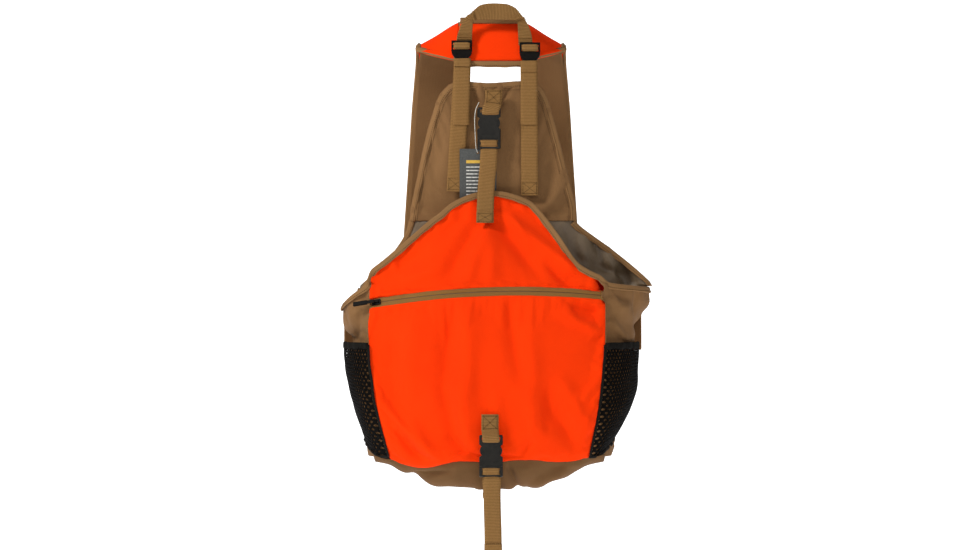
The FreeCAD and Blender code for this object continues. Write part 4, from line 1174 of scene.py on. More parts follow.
def make_liner():
    """Grey coated liner with crinkles; its right wing runs out to the tip of the side panel."""
    tree = tree_of("bag_liner")
    low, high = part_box("bag_liner")
    heights = np.linspace(high.z + 2.5 * MM, low.z + 2 * MM, 110)
    seen = np.minimum(heights, high.z - 0.5 * MM)
    left, right = (edges_of(tree, sign, seen) for sign in (-1, 1))
    levels, reach = [z * MM for z, _ in WING][::-1], [x * MM for _, x in WING][::-1]
    wing = heights > levels[0]
    edge = np.where(wing, np.interp(heights, levels, reach), np.minimum(right, 0.243))
    points = np.empty((110, 84, 3))
    tip = ROUND_SIDES["right"][np.argmax(ROUND_SIDES["right"][:, 0])]
    for i, z in enumerate(seen):
        known = from_behind(tree, right[i] * 0.985, z)
        slope = (tip[1] - known.y) / max(tip[0] - right[i], 20 * MM)
        for j, x in enumerate(np.linspace(left[i], edge[i], 84)):
            hit = from_behind(tree, x * 0.995, z) if x < right[i] * 0.985 else None
            y = hit.y if hit else known.y + max(0.0, x - right[i] * 0.985) * min(slope, 1.2)
            points[i, j] = (x, y, heights[i])
    points = smooth_grid(points, 4)
    folds = [(150, -330, 186, -392, 7, -5.0), (168, -350, 196, -402, 5, 4.5), (188, -372, 208, -408, 5, -4.5),
             (128, -322, 150, -380, 7, 3.5), (134, -360, 200, -386, 5, -3.5), (110, -312, 124, -366, 7, -3.0)]
    dressed = dress(points, folds, (0.04, 2.2 * MM), 51, 0.0, (1, 1, 1, 1), 1.4)
    obj = cloth_grid("bag_liner_cloth", dressed)
    settle(obj, rim_indices(110, 84), 0.02, 14, 0.0, 0.6, 5 * MM, 0.25)
    solid(obj, 0.7 * MM, -1.0, 0)
    finish_piece(obj, "grey_lining", "vest", ["bag_liner"])
    stop = int(np.argmax(wing < 1)) - 1
    for side, column, count in (("left", 0, int(np.argmin(left))), ("right", -1, stop)):
        line = points[:count + 1, column]
        if side == "left":
            line = line[::-1]
        path = even(np.stack([blur(line[:, k], 6) for k in range(3)], axis=1), 2.4 * MM)
        normals = unit(np.stack((path[:, 0] * 3, np.full(len(path), -1.0), np.full(len(path), 0.25)), axis=1))
        _, run, run_normals = bound_edge(f"wing_tape_{side}", path + normals * 0.8 * MM, normals, 1.0, seed=12)
        stitches(f"wing_stitching_{side}", [beside(run, run_normals, 7.2 * MM, 1.1 * MM)], "dark_thread")


# ---------------------------------------------------------------- padded yoke
ARM_LINE = [(-4, -64), (10, -34), (34, -8), (64, -2), (98, -22), (130, -64), (158, -130), (178, -210),
            (190, -300), (198, -404)]
NECK = 42.0
ARM_ACROSS = np.linspace(0.03, 0.97, 12)[None, :, None]


def cushion(name, near, far, outward, thick, look, nodes, columns=22):
    """A closed pad between two edge lines, crowned in the middle and pinched at its bound edges."""
    rows = len(near)
    across = np.linspace(0, 1, columns)
    crown = (1 - np.abs(2 * across - 1) ** 3.2) * 0.5 * thick + 1.1 * MM
    flat = near[:, None] * (1 - across)[None, :, None] + far[:, None] * across[None, :, None]
    quilt = ripple(flat, 0.05, 0.7 * MM, 61) * (1 - np.abs(2 * across - 1) ** 4)
    top = flat + outward[:, None] * (crown + quilt)[..., None]
    low = flat - outward[:, None] * (crown * 0.8)[None, :, None]
    ring = np.concatenate((top, low[:, ::-1]), axis=1)
    count = ring.shape[1]
    faces = grid_faces(rows, count, wrap=True)
    faces.append(tuple(range(count))[::-1])
    faces.append(tuple(range((rows - 1) * count, rows * count)))
    along = np.concatenate(([0], np.cumsum(np.linalg.norm(np.diff(near, axis=0), axis=1))))
    lateral = np.concatenate((across, across[::-1])) * np.linalg.norm(far[0] - near[0])
    grid_u, grid_v = np.meshgrid(lateral, along)
    obj = mesh_object(name, ring.reshape(-1, 3), faces, np.stack((grid_u.ravel(), grid_v.ravel()), axis=1))
    finish_piece(obj, look, "vest", nodes)
    return top


def arm_edges(sign):
    """Near and far edge lines of one arm of the yoke and the direction out of the body along it."""
    line = resample(np.array([(0, y, z) for y, z in ARM_LINE], dtype=float), 6.0)[:, 1:]
    slope = unit(np.gradient(line, axis=0))
    down = np.clip((-line[:, 1] - 8) / 390.0, 0, 1)
    near_x = NECK + 0.8 + 34 * down
    wide = 70 - 8 * down
    drop = 0.55 * wide * np.maximum(0, 1 - 3.2 * down)
    near = np.stack((sign * near_x, line[:, 0], line[:, 1]), axis=1)
    far = np.stack((sign * (near_x + wide), line[:, 0] - 12 * down, line[:, 1] - drop), axis=1)
    rise = np.stack((np.zeros(len(line)), -slope[:, 1], slope[:, 0]), axis=1)
    share = np.linspace(0, 1, len(line))
    slant = share + 0.125 * (1 - share) ** 4
    far = np.stack([np.interp(slant, share, far[:, k]) for k in range(3)], axis=1)
    flat = unit(far - near)
    outward = unit(rise - flat * (rise * flat).sum(axis=1, keepdims=True))
    return near * MM, far * MM, outward


def make_yoke():
    """Neck panel and both arms of the padded yoke, with their bound edges."""
    tree = tree_of("yoke_panel")
    heights = np.linspace(-6.5, -64, 22) * MM
    wide = (NECK + 4.5) * MM
    grid = np.empty((22, 30, 3))
    for i, z in enumerate(heights):
        for j, x in enumerate(np.linspace(-wide, wide, 30)):
            hit = from_behind(tree, np.clip(x, -0.041, 0.041), z)
            grid[i, j] = (x, hit.y + 4 * MM if hit else grid[i - 1, j, 1], z)
    grid = smooth_grid(grid, 10, keep_edges=False)
    near, far = grid.transpose(1, 0, 2)[:, 0], grid.transpose(1, 0, 2)[:, -1]
    outward = np.tile(np.array([0.0, -1.0, 0.12]), (len(near), 1))
    cushion("yoke_panel_pad", near, far, unit(outward), 8.5 * MM, "orange_cloth", ["yoke_panel"])
    for edge, inward, name in ((near, -1, "neck"), (far, 1, "lower")):
        path = resample(np.vstack((edge[::3], edge[-1:])) + np.array([0, -1.6 * MM, 0]), 2.4 * MM)
        normals = np.tile(np.array([0.0, -1.0, 0.15]), (len(path), 1))
        _, line, line_normals = bound_edge(f"yoke_{name}_tape", path, unit(normals), inward,
                                           width=9.5 * MM, thick=4.0 * MM, seed=70)
        stitches(f"yoke_{name}_stitching", [beside(line, line_normals, inward * 7.4 * MM, 1.9 * MM)],
                 "dark_thread")
    for side, sign in SIGN.items():
        near, far, outward = arm_edges(sign)
        top = cushion(f"shoulder_pad_{side}", near, far, outward, 9.0 * MM, "orange_cloth",
                      ["shoulder_strap_" + side])
        low = near[:, None] * (1 - ARM_ACROSS) + far[:, None] * ARM_ACROSS - outward[:, None] * 5.4 * MM
        lining = solid(cloth_grid(f"shoulder_lining_{side}", low), 0.8 * MM, 0.0, 0)
        finish_piece(lining, "tan_packcloth")
        for edge, name in ((near, "inner"), (far, "outer")):
            towards = (far - near) if name == "inner" else (near - far)
            path = even(edge - unit(towards) * 1.0 * MM, 2.4 * MM)
            _, _, along_side = moving_frame(path, even_like(outward, path))
            inner_side = 1 if (along_side[0] @ towards[0]) > 0 else -1
            _, line, line_normals = bound_edge(f"arm_{name}_tape_{side}", path, even_like(outward, path),
                                               inner_side, width=8.5 * MM, thick=6.0 * MM, seed=80)
            stitches(f"arm_{name}_stitching_{side}",
                     [beside(line, line_normals, inner_side * 6.6 * MM, 3.1 * MM)], "dark_thread")
        share = np.linspace(-0.01, 1.01, 40)[:, None]
        start = near[0] * (1 - share) + far[0] * share + outward[0] * 0.6 * MM
        along = near[1] - near[0]
        start = start - unit(along) * 1.5 * MM
        _, _, over = moving_frame(start, outward[0])
        inner_side = 1 if over[0] @ along > 0 else -1
        _, line, line_normals = bound_edge(f"arm_end_tape_{side}", start, outward[0], inner_side,
                                           width=8.5 * MM, thick=6.5 * MM, seed=82)
        stitches(f"arm_end_stitching_{side}",
                 [beside(line, line_normals, inner_side * 6.8 * MM, 3.3 * MM)], "dark_thread")


# ---------------------------------------------------------------- webbing
def plane_path(points, normal=(0, -1, 0), step=RIB_PITCH / 4):
    """A resampled path in metres from points in millimetres, with one normal."""
    path = resample(np.array(points, dtype=float) * MM, step)
    return path, np.tile(np.array(normal, dtype=float), (len(path), 1))


def facing_normals(path, towards=(0, -1, 0), across=(1, 0, 0)):
    """Normals square to a strap that lies across one direction."""
    tangent = unit(np.gradient(path, axis=0))
    normal = unit(np.cross(np.tile(across, (len(path), 1)), tangent))
    flip = np.sign((normal * np.array(towards)).sum(axis=1, keepdims=True))
    return normal * np.where(flip == 0, 1, flip)


def box_stitch(name, path, normals, start, stop, half, lift, look="dark_thread"):
    """A sewn box with a cross in it, on a strap between two arc lengths."""
    lengths = np.concatenate(([0], np.cumsum(np.linalg.norm(np.diff(path, axis=0), axis=1))))
    _, normal, side = moving_frame(path, normals)

    def spot(s, across):
        base = np.array([np.interp(s, lengths, path[:, k]) for k in range(3)])
        out = np.array([np.interp(s, lengths, normal[:, k]) for k in range(3)])
        over = np.array([np.interp(s, lengths, side[:, k]) for k in range(3)])
        return base + over * across + out * lift, out

    corners = [(start, -half), (start, half), (stop, half), (stop, -half), (start, -half)]
    lines = list(zip(corners, corners[1:])) + [(corners[0], corners[2]), (corners[1], corners[3])]
    runs = []
    for (s0, a0), (s1, a1) in lines:
        share = np.linspace(0, 1, 12)
        spots = [spot(s0 + (s1 - s0) * t, a0 + (a1 - a0) * t) for t in share]
        runs.append((np.array([p for p, _ in spots]), np.array([n for _, n in spots])))
    stitches(name, runs, look, pitch=2.6 * MM, length=2.1 * MM, radius=0.3 * MM)


HANDLE_OUTER = [(-51.6, -37), (-51, -30), (-48.6, -19), (-42.8, -3), (-27.5, 11), (-16.5, 20.4), (-5, 22.6),
                (6, 23.0), (25, 22), (37.5, 15.8), (47, 4), (55.2, -7.4), (60.4, -22), (62, -32), (62.6, -40)]
HANDLE_INNER = [(-28.6, -37), (-28.6, -30), (-28.2, -19), (-27.4, -7), (-27.0, -2.6), (-20, -2.0), (-8, -1.8),
                (6, -1.8), (24, -2.0), (35, -2.4), (39.6, -3.2), (40.5, -9), (40.7, -20), (41.4, -32), (41.8, -40)]


def make_handle():
    """Webbing handle: two legs from the ladder locks folded over into a flat arch."""
    rows, cols = 420, 15
    marks = np.linspace(0, 1, len(HANDLE_OUTER))
    knots = [np.array(line, dtype=float) * MM for line in (HANDLE_OUTER, HANDLE_INNER)]
    at = np.linspace(0, 1, rows)
    sides = [np.stack((np.interp(at, marks, k[:, 0]), np.interp(at, marks, k[:, 1])), axis=1) for k in knots]
    sides = [np.stack([blur(side[:, k], 60) for k in (0, 1)], axis=1) for side in sides]
    across = np.linspace(0, 1, cols)
    flat = sides[0][:, None] * (1 - across)[None, :, None] + sides[1][:, None] * across[None, :, None]
    middle = flat[:, cols // 2]
    run = np.concatenate(([0], np.cumsum(np.linalg.norm(np.diff(middle, axis=0), axis=1))))
    y = np.full(flat.shape[:2], -10.2 * MM)
    y -= 0.35 * MM * np.cos(2 * math.pi * run / RIB_PITCH)[:, None] * (1 - np.abs(2 * across - 1) ** 8)[None]
    for corner, lean in ((0.285, 0.05), (0.705, -0.05)):
        ridge = at[:, None] - corner - lean * (across[None] - 0.5)
        y -= 2.4 * MM * np.exp(-(ridge / 0.016) ** 2) - 1.6 * MM * np.exp(-((ridge - 0.03) / 0.02) ** 2)
    for leg in (0.06, 0.085, 0.11, 0.905, 0.93, 0.955):
        y -= 1.5 * MM * np.exp(-((at - leg) / 0.007) ** 2)[:, None]
    points = np.concatenate((flat[..., :1], y[..., None], flat[..., 1:]), axis=2)
    obj = mesh_object("handle_webbing", points.reshape(-1, 3), grid_faces(rows, cols), np.stack(
        (np.tile(across * WEBBING_WIDTH, rows), np.repeat(run, cols)), axis=1))
    solid(obj, 2.4 * MM, -1.0)
    finish_piece(obj, "tan_webbing", "vest", ["grab_handle"])


def back_surface(*nodes):
    """y of the outer face of these nodes at x and z."""
    tree = tree_of(*nodes)

    def at(x, z, fallback):
        hit = from_behind(tree, x, z)
        return hit.y if hit else fallback

    return at


def make_load_straps():
    """Load straps, the folded keepers under the locks and the loose tails."""
    for side, nodes in (("left", ["load_strap_left"]), ("right", ["load_strap_right"])):
        low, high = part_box("load_strap_" + side)
        tree = tree_of("load_strap_" + side)
        top_x = -43.0 * MM if side == "left" else 57.0 * MM
        low_x = -54.0 * MM if side == "left" else 58.0 * MM
        heights = np.linspace(high.z - 1 * MM, low.z + 1 * MM, 30)
        line = []
        for z in heights:
            x = top_x + (low_x - top_x) * (high.z - z) / (high.z - low.z)
            hit = from_behind(tree, x, z)
            line.append((x, hit.y if hit else line[-1][1], z))
        line = np.array(line)
        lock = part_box("ladder_lock_" + side)
        start = np.array([(top_x - 0.4 * MM, line[0, 1] + 1.0 * MM, lock[0].z + 3.0 * MM)])
        line = line[line[:, 2] < lock[0].z]
        path = resample(np.vstack((start, line)), RIB_PITCH / 4)
        normals = facing_normals(path)
        webbing(f"load_strap_{side}_webbing", path, normals, nodes=nodes)
        box_stitch(f"load_strap_{side}_box", path, normals,
                   arc_length(path) - 19 * MM, arc_length(path) - 3 * MM, 10.2 * MM, 1.25 * MM)
        fold = path[-int(20 * MM / (RIB_PITCH / 4)):] + normals[-int(20 * MM / (RIB_PITCH / 4)):] * 0.4 * MM
        webbing(f"load_strap_{side}_fold", fold, facing_normals(fold), width=24.8 * MM, thick=1.2 * MM)
        ends = {"left": (-161, -73, -45.0), "right": (-161, -81, 57.0)}
        tail_z, keeper_z, x_end = ends[side]
        tail_heights = np.linspace(lock[0].z + 2.5 * MM, tail_z * MM, 26)
        tail = np.array([(top_x + (x_end * MM - top_x) * k / 25,
                          np.interp(-z, -path[:, 2], path[:, 1]) - 2.1 * MM - 0.7 * MM * math.sin(k / 2.6), z)
                         for k, z in enumerate(tail_heights)])
        tail_path = resample(tail, RIB_PITCH / 4)
        webbing(f"load_strap_{side}_tail", tail_path, facing_normals(tail_path),
                nodes=["load_strap_tails"] if side == "left" else [])
        keeper = tail_path[tail_path[:, 2] > keeper_z * MM] - np.array([0, 2.0 * MM, 0])
        webbing(f"load_strap_{side}_keeper", keeper, facing_normals(keeper), width=25.6 * MM,
                thick=1.9 * MM, ribs=0.05 * MM)
        middle = (lock[0] + lock[1]) / 2
        bar = [(middle.x / MM, lock[0].y / MM + 3.0 + dy, lock[1].z / MM + dz)
               for dy, dz in ((1.6, -3.9), (-0.6, -4.2), (-2.2, -5.4), (-2.4, -8.2), (-1.9, -11.0),
                              (0.4, -12.4), (2.6, -12.8))]
        wrap, _ = plane_path(bar)
        webbing(f"lock_wrap_{side}", wrap, facing_normals(wrap), "lock_" + side, width=24.6 * MM,
                thick=1.6 * MM)


def arc_length(path):
    """Length of a path."""
    return float(np.linalg.norm(np.diff(path, axis=0), axis=1).sum())


def make_upper_webbing():
    """Anchor loop of the upper buckle with its sewn box, and the strap below its plug."""
    anchor = [(4.2, -41.6, -108.5), (4.2, -42.6, -114), (3.8, -45.0, -124), (2.2, -50.4, -132),
              (0.2, -52.9, -137), (-0.6, -53.2, -141.5), (-0.8, -51.4, -145), (-0.8, -47.4, -146.4)]
    path, _ = plane_path(anchor)
    normals = facing_normals(path)
    webbing("upper_anchor_strap", path, normals, nodes=["upper_anchor_webbing"])
    under = path[:int(len(path) * 0.5)] - normals[:int(len(path) * 0.5)] * 1.6 * MM
    webbing("upper_anchor_lap", under, facing_normals(under), thick=1.5 * MM)
    box_stitch("upper_anchor_box", path, normals, 2.2 * MM, 22 * MM, 10.0 * MM, 1.25 * MM)
    plug_wrap("upper", -3.0, -46.5, -181)
    strap = [(-3, -46.2, -191.5), (-3, -47.2, -196), (-3.1, -49.6, -201), (-3.6, -50.4, -210), (-4, -50.8, -220),
             (-6.4, -54.2, -245), (-8, -59.4, -270), (-8.8, -68.4, -294), (-9, -73.0, -308)]
    path, _ = plane_path(strap)
    slide_with(webbing("upper_strap_webbing", path, facing_normals(path), nodes=["upper_strap"]))
    hem = path[path[:, 2] < -0.2915] + np.array([0, -1.4 * MM, 0])
    webbing("upper_strap_hem", hem, facing_normals(hem), width=25.8 * MM, thick=1.8 * MM, ribs=0.1 * MM)
    box_stitch("upper_strap_box", hem, facing_normals(hem), 3 * MM, arc_length(hem) - 1.5 * MM,
               10.4 * MM, 1.1 * MM)


def plug_wrap(name, x, y, z):
    """The turn of webbing seen in the plug's window, over its middle bar."""
    bar = [(x, y + dy, z + dz) for dy, dz in
           ((0.6, -3.0), (-2.2, -3.2), (-4.4, -4.6), (-5.0, -7.6), (-4.8, -10.4), (-3.0, -12.6), (0.4, -13.0))]
    path, _ = plane_path(bar)
    webbing(f"{name}_plug_wrap", path, facing_normals(path), name + "_plug", width=24.2 * MM, thick=1.4 * MM)


def slide_with(obj):
    """Gives a strap between a sliding plug and its sewn end a mesh of its own."""
    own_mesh(obj)


def make_lower_webbing():
    """Anchor, strap and loose tail of the lower buckle."""
    anchor = [(-1.5, -136.6, -592), (-1.5, -137.8, -600), (-1.6, -139.0, -610), (-1.2, -142.4, -617),
              (-0.6, -147.2, -622.5), (-0.2, -148.6, -627), (0, -147.6, -631.5), (0, -143.4, -633.4)]
    path, _ = plane_path(anchor)
    normals = facing_normals(path)
    webbing("lower_anchor_strap", path, normals, nodes=["lower_anchor_webbing"])
    lap = path[:int(len(path) * 0.5)] - normals[:int(len(path) * 0.5)] * 1.6 * MM
    webbing("lower_anchor_lap", lap, facing_normals(lap), thick=1.5 * MM)
    box_stitch("lower_anchor_box", path, normals, 2.6 * MM, 22 * MM, 10.2 * MM, 1.25 * MM)
    plug_wrap("lower", 0.0, -142.0, -668)
    strap = [(0, -138.6, -676), (0, -140.2, -682), (0, -139.8, -692), (0.6, -136.5, -702), (1, -130, -710),
             (1, -116, -716), (0.5, -84, -717), (0, -42, -712)]
    path, _ = plane_path(strap)
    slide_with(webbing("lower_strap_webbing", path, facing_normals(path), nodes=["lower_strap"]))
    tail = [(0.8, -143.6, -680), (1.4, -144.4, -685), (1.8, -147.6, -690), (1.6, -148.4, -712),
            (2.2, -149.4, -740), (3.0, -148.0, -768), (3.2, -146.6, -786), (3.2, -146.4, -794)]
    path, _ = plane_path(tail)
    webbing("lower_tail_webbing", path, facing_normals(path), "lower_plug", ["lower_strap_tail"])
    roll = path[path[:, 2] < -0.7825] + np.array([0, -1.3 * MM, 0])
    webbing("lower_tail_hem", roll, facing_normals(roll), "lower_plug", width=26.2 * MM, thick=2.2 * MM,
            ribs=0.1 * MM)
    sewn = roll[:2] + np.array([0, -1.3 * MM, 0.4 * MM])
    across = np.linspace(-11, 11, 12)[:, None] * np.array([[MM, 0, 0]])
    stitches("lower_tail_stitch", [(sewn[0] + across, np.array([0.0, -1.0, 0.0]))], "dark_thread", "lower_plug")


def make_front_webbing():
    """Waist and sternum straps, from each side's sewn end to its buckle half."""
    for name in ("waist", "sternum"):
        for side in SIGN:
            node = f"{name}_strap_{side}"
            tree = tree_of(node)
            low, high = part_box(node)
            z = (low.z + high.z) / 2
            line = []
            for x in np.linspace(low.x + 0.5 * MM, high.x - 0.5 * MM, 24):
                hit = tree.ray_cast(Vector((x, 1.0, z)), Vector((0, -1, 0)))[0]
                if hit is not None:
                    line.append((x, hit.y - 0.9 * MM, z))
            path = resample(np.array(line), RIB_PITCH / 4)
            normals = facing_normals(path, (0, 1, 0), (0, 0, 1))
            obj = webbing(f"{node}_webbing", path, normals, nodes=[node])
            if side == "right":
                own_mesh(obj)


# ---------------------------------------------------------------- front
def make_front():
    """Front panels with bound edges, bellows pockets and their flaps."""
    for side, sign in SIGN.items():
        node = "front_panel_" + side
        tree = tree_of(node)
        low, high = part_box(node)
        start = sweep_angles(side, -0.45, 0.0)[1]
        angles = (start, last_angle(tree, start, sign, (low.z + high.z) / 2))
        points = side_points(node, tree, angles[0], angles[1], 48, 40,
                             lambda a: high.z - 1 * MM, lambda a: low.z + 1 * MM)
        points = smooth_grid(points, 8)
        dressed = dress(points, (), (0.08, 1.6 * MM), 90 + sign, 0.5 * MM)
        obj = cloth_grid(node + "_cloth", dressed)
        settle(obj, rim_indices(40, 48), 0.02, 12, 0.0, 0.5, 4 * MM, 0.8)
        solid(obj, CLOTH, -1.0, 1)
        finish_piece(obj, "tan_packcloth", "vest", [node])
        border = np.vstack((points[0], points[1:, -1], points[-1, ::-1][1:]))
        edge = even(np.stack([blur(border[:, k], 2) for k in range(3)], axis=1), 2.4 * MM)
        centre = points.mean(axis=(0, 1))
        out = unit(np.stack((edge[:, 0], edge[:, 1] - AXIS_Y, np.zeros(len(edge))), axis=1))
        _, _, over = moving_frame(edge, out)
        inward = 1 if (over[5] @ (centre - edge[5])) > 0 else -1
        _, line, line_normals = bound_edge(node + "_tape", edge + out * 0.6 * MM, out, inward, seed=95)
        stitches(node + "_stitching", [beside(line, line_normals, inward * 7.2 * MM, 1.1 * MM)],
                 "dark_thread")
        make_pocket(side, sign)


def soft_block(name, low, high, frame_axes, bulge, seed, rows=34, cols=34, rim=9 * MM):
    """A soft-edged bellows: face and sides in one grid, from a box given in the pocket's own axes."""
    origin, across, out = frame_axes
    points = np.empty((rows, cols, 3))
    u_line = np.linspace(-1, 1, cols)
    v_line = np.linspace(-1, 1, rows)
    wide, tall, deep = high[0] - low[0], high[2] - low[2], high[1] - low[1]
    for i, v in enumerate(v_line):
        for j, u in enumerate(u_line):
            edge = max(abs(u), abs(v))
            rise = (1 - max(0.0, (edge - 0.72) / 0.28) ** 2.2)
            round_off = 1 - 0.10 * max(0.0, edge - 0.72) / 0.28
            x = (low[0] + high[0]) / 2 + u * wide / 2 * (1 if edge > 0.95 else 0.99)
            z = (low[2] + high[2]) / 2 - v * tall / 2
            y = low[1] + deep * rise * round_off
            points[i, j] = origin + across * x + out * y + np.array([0, 0, z])
    wave = ripple(points, 0.045, 0.9 * MM, seed)
    fade = np.clip(1.15 - np.maximum(np.abs(u_line)[None], np.abs(v_line)[:, None]), 0, 1)
    return points + out * (wave * fade + bulge * fade)[..., None]


def pocket_axes(side):
    """Origin, across and outward directions of a cargo pocket, from its flap's hinge."""
    joint = next(j for j in frame["joints"] if j["name"] == f"pocket_flap_{side}_lift")
    across = unit(np.array(joint["axis"], dtype=float))
    across *= np.sign(across[0])
    out = unit(np.cross(across, np.array([0.0, 0.0, 1.0])))
    out *= 1 if out[1] > 0 else -1
    low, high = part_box("cargo_pocket_" + side)
    middle = (np.array(low) + np.array(high)) / 2
    verts = np.array([v.co for v in NODES["cargo_pocket_" + side].data.vertices])
    local = np.stack(((verts - middle) @ across, (verts - middle) @ out, verts[:, 2] - middle[2]), axis=1)
    return (middle, across, out), local.min(axis=0), local.max(axis=0)


def make_pocket(side, sign):
    """One bellows pocket with its flap, hem binding and stitching."""
    axes, low, high = pocket_axes(side)
    origin, across, out = axes
    points = soft_block("pocket", low, high, axes, -0.5 * MM, 100 + sign)
    obj = cloth_grid(f"cargo_pocket_{side}_cloth", points)
    solid(obj, CLOTH, -1.0 if sign > 0 else -1.0, 1)
    finish_piece(obj, "tan_packcloth", "vest", ["cargo_pocket_" + side])
    flap_low, flap_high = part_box("pocket_flap_" + side)
    verts = np.array([v.co for v in NODES["pocket_flap_" + side].data.vertices])
    local = np.stack(((verts - origin) @ across, (verts - origin) @ out, verts[:, 2] - origin[2]), axis=1)
    f_low, f_high = local.min(axis=0), local.max(axis=0)
    rows, cols = 30, 40
    grid = np.empty((rows, cols, 3))
    for i, s in enumerate(np.linspace(0, 1, rows)):
        for j, u in enumerate(np.linspace(f_low[0], f_high[0], cols)):
            inner = f_low[1] + 1.4 * MM
            depth = f_high[1] - inner
            run = s * (depth + (f_high[2] - f_low[2]))
            y = inner + min(run, depth)
            z = f_high[2] - max(0.0, run - depth)
            if abs(run - depth) < 6 * MM:
                t = (run - depth + 6 * MM) / (12 * MM)
                y = inner + depth - 6 * MM * (1 - t) ** 2
                z = f_high[2] - 6 * MM * t ** 2
            grid[i, j] = origin + across * u + out * y + np.array([0, 0, z])
    sway = ripple(grid, 0.06, 0.7 * MM, 110 + sign)
    sway *= np.clip(np.arange(rows)[:, None] / 8.0, 0, 1)
    grid = grid + out * sway[..., None]
    flap = cloth_grid(f"pocket_flap_{side}_cloth", grid)
    solid(flap, 2.0 * MM, 0.0, 1)
    finish_piece(flap, "tan_packcloth", "flap_" + side, ["pocket_flap_" + side])
    border = np.vstack((grid[12:, 0], grid[-1, 1:], grid[12:, -1][::-1][1:]))
    edge = even(border, 2.4 * MM)
    normals = np.tile(out, (len(edge), 1))
    _, _, over = moving_frame(edge, normals)
    inward = 1 if (over[4] @ (grid.mean(axis=(0, 1)) - edge[4])) > 0 else -1
    _, line, line_normals = bound_edge(f"flap_tape_{side}", edge + out * 0.8 * MM, normals, inward,
                                       body="flap_" + side, thick=3.4 * MM, seed=96)
    stitches(f"flap_stitching_{side}", [beside(line, line_normals, inward * 7.2 * MM, 1.5 * MM)],
             "dark_thread", "flap_" + side)


# ---------------------------------------------------------------- swing tag
def make_tag():
    """Printed swing tag (plain bars in place of words) on its string."""
    low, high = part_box("hang_tag")
    front = low.y
    NODES["hang_tag"].data.materials.clear()
    NODES["hang_tag"].data.materials.append(MATERIALS["tag_card"])
    wide = high.x - low.x
    bars = [("tag_gold", 17, 36, 4.6)]
    bars += [("tag_white", 26.5 + k * 5.15, length, 1.6)
             for k, length in enumerate((34, 36, 33, 36, 35, 32, 36, 34, 30, 35))]
    for look in ("tag_gold", "tag_white"):
        verts, faces = [], []
        for kind, down, length, tall in bars:
            if kind != look:
                continue
            words = 5 if look == "tag_white" else 3
            rng = np.random.default_rng(int(down * 10))
            cuts = np.sort(rng.uniform(0.12, 0.88, words - 1))
            marks = np.concatenate(([0], cuts, [1]))
            x0 = low.x + (wide - 36 * MM) / 2
            for a, b in zip(marks, marks[1:]):
                left, right = x0 + length * MM * a + 0.4 * MM, x0 + length * MM * b - 0.4 * MM
                if right - left < 0.5 * MM:
                    continue
                top, base = high.z - down * MM, high.z - (down + tall) * MM
                index = len(verts)
                for y in (front - 0.06 * MM, front + 0.1 * MM):
                    verts.extend([(left, y, top), (right, y, top), (right, y, base), (left, y, base)])
                faces.extend([(index, index + 3, index + 2, index + 1), (index, index + 1, index + 5, index + 4),
                              (index + 1, index + 2, index + 6, index + 5),
                              (index + 2, index + 3, index + 7, index + 6),
                              (index + 3, index, index + 4, index + 7),
                              (index + 4, index + 5, index + 6, index + 7)])
        finish_piece(mesh_object("tag_print_" + look, verts, faces), look, "tag", smooth=False)
    hole_z = high.z - 6 * MM
    hole_x = (low.x + high.x) / 2
    route = [(-18.0, -44.2, -127.5), (-22.8, -46.6, -138), (-24.4, -47.2, -151), (-24.2, -47.0, -165),
             (-23.6, -45.8, -178), (-23.0, -44.6, -190), (-22.0, -43.6, -198)]
    points = [np.array(p) * MM for p in route] + [np.array([hole_x - 0.3 * MM, front - 0.7 * MM, hole_z])]
    curve = bpy.data.curves.new("tag_string_loop", "CURVE")
    curve.dimensions = "3D"
    line = curve.splines.new("NURBS")
    fine = resample(np.array(points), 4 * MM)
    line.points.add(len(fine) - 1)
    for point, place in zip(line.points, fine):
        point.co = (*place, 1)
    line.order_u = 3
    line.use_endpoint_u = True
    curve.bevel_depth = 0.45 * MM
    curve.bevel_resolution = 3
    obj = bpy.data.objects.new("tag_string_loop", curve)
    bpy.context.scene.collection.objects.link(obj)
    finish_piece(obj, "white_string", "tag", ["tag_string"])


# ---------------------------------------------------------------- moulded parts
def soften(node, width, segments=3):
    """Rounds a moulded part's sharp edges."""
    bevel = NODES[node].modifiers.new("moulded", "BEVEL")
    bevel.width = width
    bevel.segments = segments
    bevel.limit_method = "ANGLE"
    bevel.angle_limit = math.radians(40)
    bevel.harden_normals = False


def make_hardware():
    """Buckles, locks, slider and snaps: the CAD shapes with rounded edges."""
    for node, obj in NODES.items():
        hard = "buckle" in node or node.startswith(("ladder_lock", "zipper_slider", "zipper_pull"))
        if hard:
            obj.data.materials.clear()
            dull = node.startswith(("zipper", "ladder"))
            obj.data.materials.append(MATERIALS["dull_plastic" if dull else "black_plastic"])
            soften(node, 0.5 * MM if "lock" in node or "zipper" in node else 0.6 * MM)
        if node.startswith("flap_snap"):
            obj.data.materials.clear()
            obj.data.materials.append(MATERIALS["black_metal"])
            soften(node, 0.6 * MM)


# ---------------------------------------------------------------- picture
def area_light(name, place, aim, size, watts, tint=(1, 1, 1)):
    """A soft square light."""
    light = bpy.data.lights.new(name, "AREA")
    light.size = size
    light.energy = watts
    light.color = tint
    obj = bpy.data.objects.new(name, light)
    obj.location = place
    obj.rotation_euler = (Vector(aim) - Vector(place)).to_track_quat("-Z", "Y").to_euler()
    bpy.context.scene.collection.objects.link(obj)


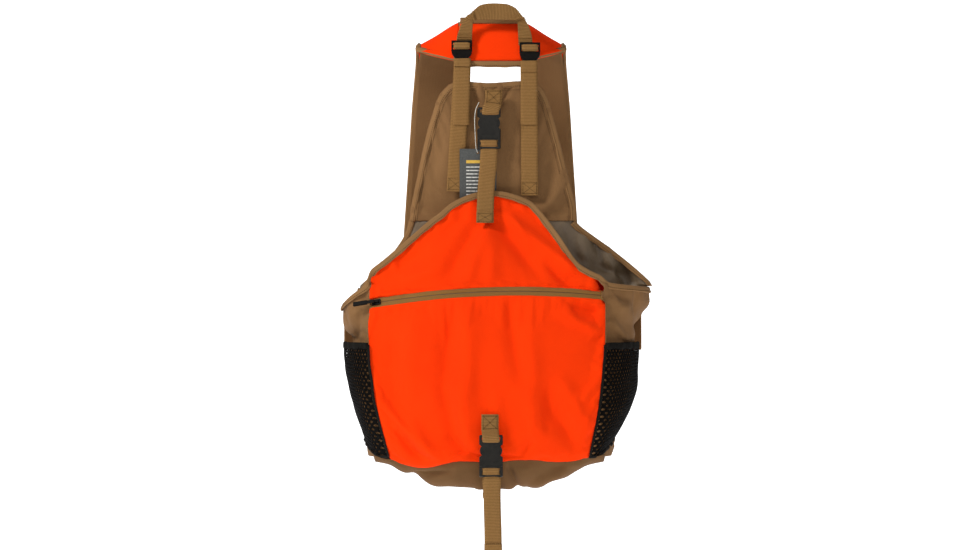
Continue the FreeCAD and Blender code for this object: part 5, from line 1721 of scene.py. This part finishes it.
def plain_backdrop():
    """A white sweep behind and below the vest."""
    mat, _, shader = principled("backdrop", 0.9)
    shader.inputs["Base Color"].default_value = (0.9, 0.9, 0.9, 1)
    shader.inputs["Emission Color"].default_value = (1, 1, 1, 1)
    shader.inputs["Emission Strength"].default_value = 0.9
    arc = [(-2.4, -1.15), (8.0, -1.15)]
    arc += [(8.4 + 0.6 * math.sin(a), -0.55 - 0.6 * math.cos(a)) for a in np.radians(np.arange(0, 91, 9))]
    arc += [(9.0, 0.2), (9.0, 3.0)]
    points = np.array([[(x, y, z) for y, z in arc] for x in (-3.6, 3.6)])
    obj = cloth_grid("backdrop", points)
    obj.data.materials.append(mat)
    obj.data.polygons.foreach_set("use_smooth", [True] * len(obj.data.polygons))


def make_picture():
    """Camera, lights and world."""
    camera = bpy.data.cameras.new("camera")
    camera.sensor_width = 36
    camera.lens = 171.0
    obj = bpy.data.objects.new("camera", camera)
    obj.location = (-0.003, -7.0, -0.3860)
    obj.rotation_euler = (math.radians(90), 0, 0)
    bpy.context.scene.collection.objects.link(obj)
    bpy.context.scene.camera = obj
    middle = (0, 0, -0.38)
    area_light("key", (-1.9, -1.3, 1.5), middle, 0.6, 62, (1.0, 0.985, 0.95))
    area_light("fill", (1.9, -2.2, 0.2), middle, 1.6, 5, (0.97, 0.985, 1.0))
    area_light("front", (0.2, -3.0, 0.9), middle, 1.4, 14)
    world = bpy.data.worlds.new("world")
    world.use_nodes = True
    world.node_tree.nodes["Background"].inputs["Color"].default_value = (1, 1, 1, 1)
    world.node_tree.nodes["Background"].inputs["Strength"].default_value = 0.26
    bpy.context.scene.world = world
    bpy.context.scene.view_settings.view_transform = "Standard"
    plain_backdrop()


upper_cloth, lower_cloth = make_bag_panels()
make_bag_seams(upper_cloth, lower_cloth)
make_zipper()
make_sides()
make_mesh_pockets()
make_bottom(lower_cloth)
make_mouth_binding()
make_back_panel()
make_liner()
make_yoke()
make_handle()
make_load_straps()
make_upper_webbing()
make_lower_webbing()
make_front_webbing()
make_front()
make_tag()
make_hardware()
make_picture()
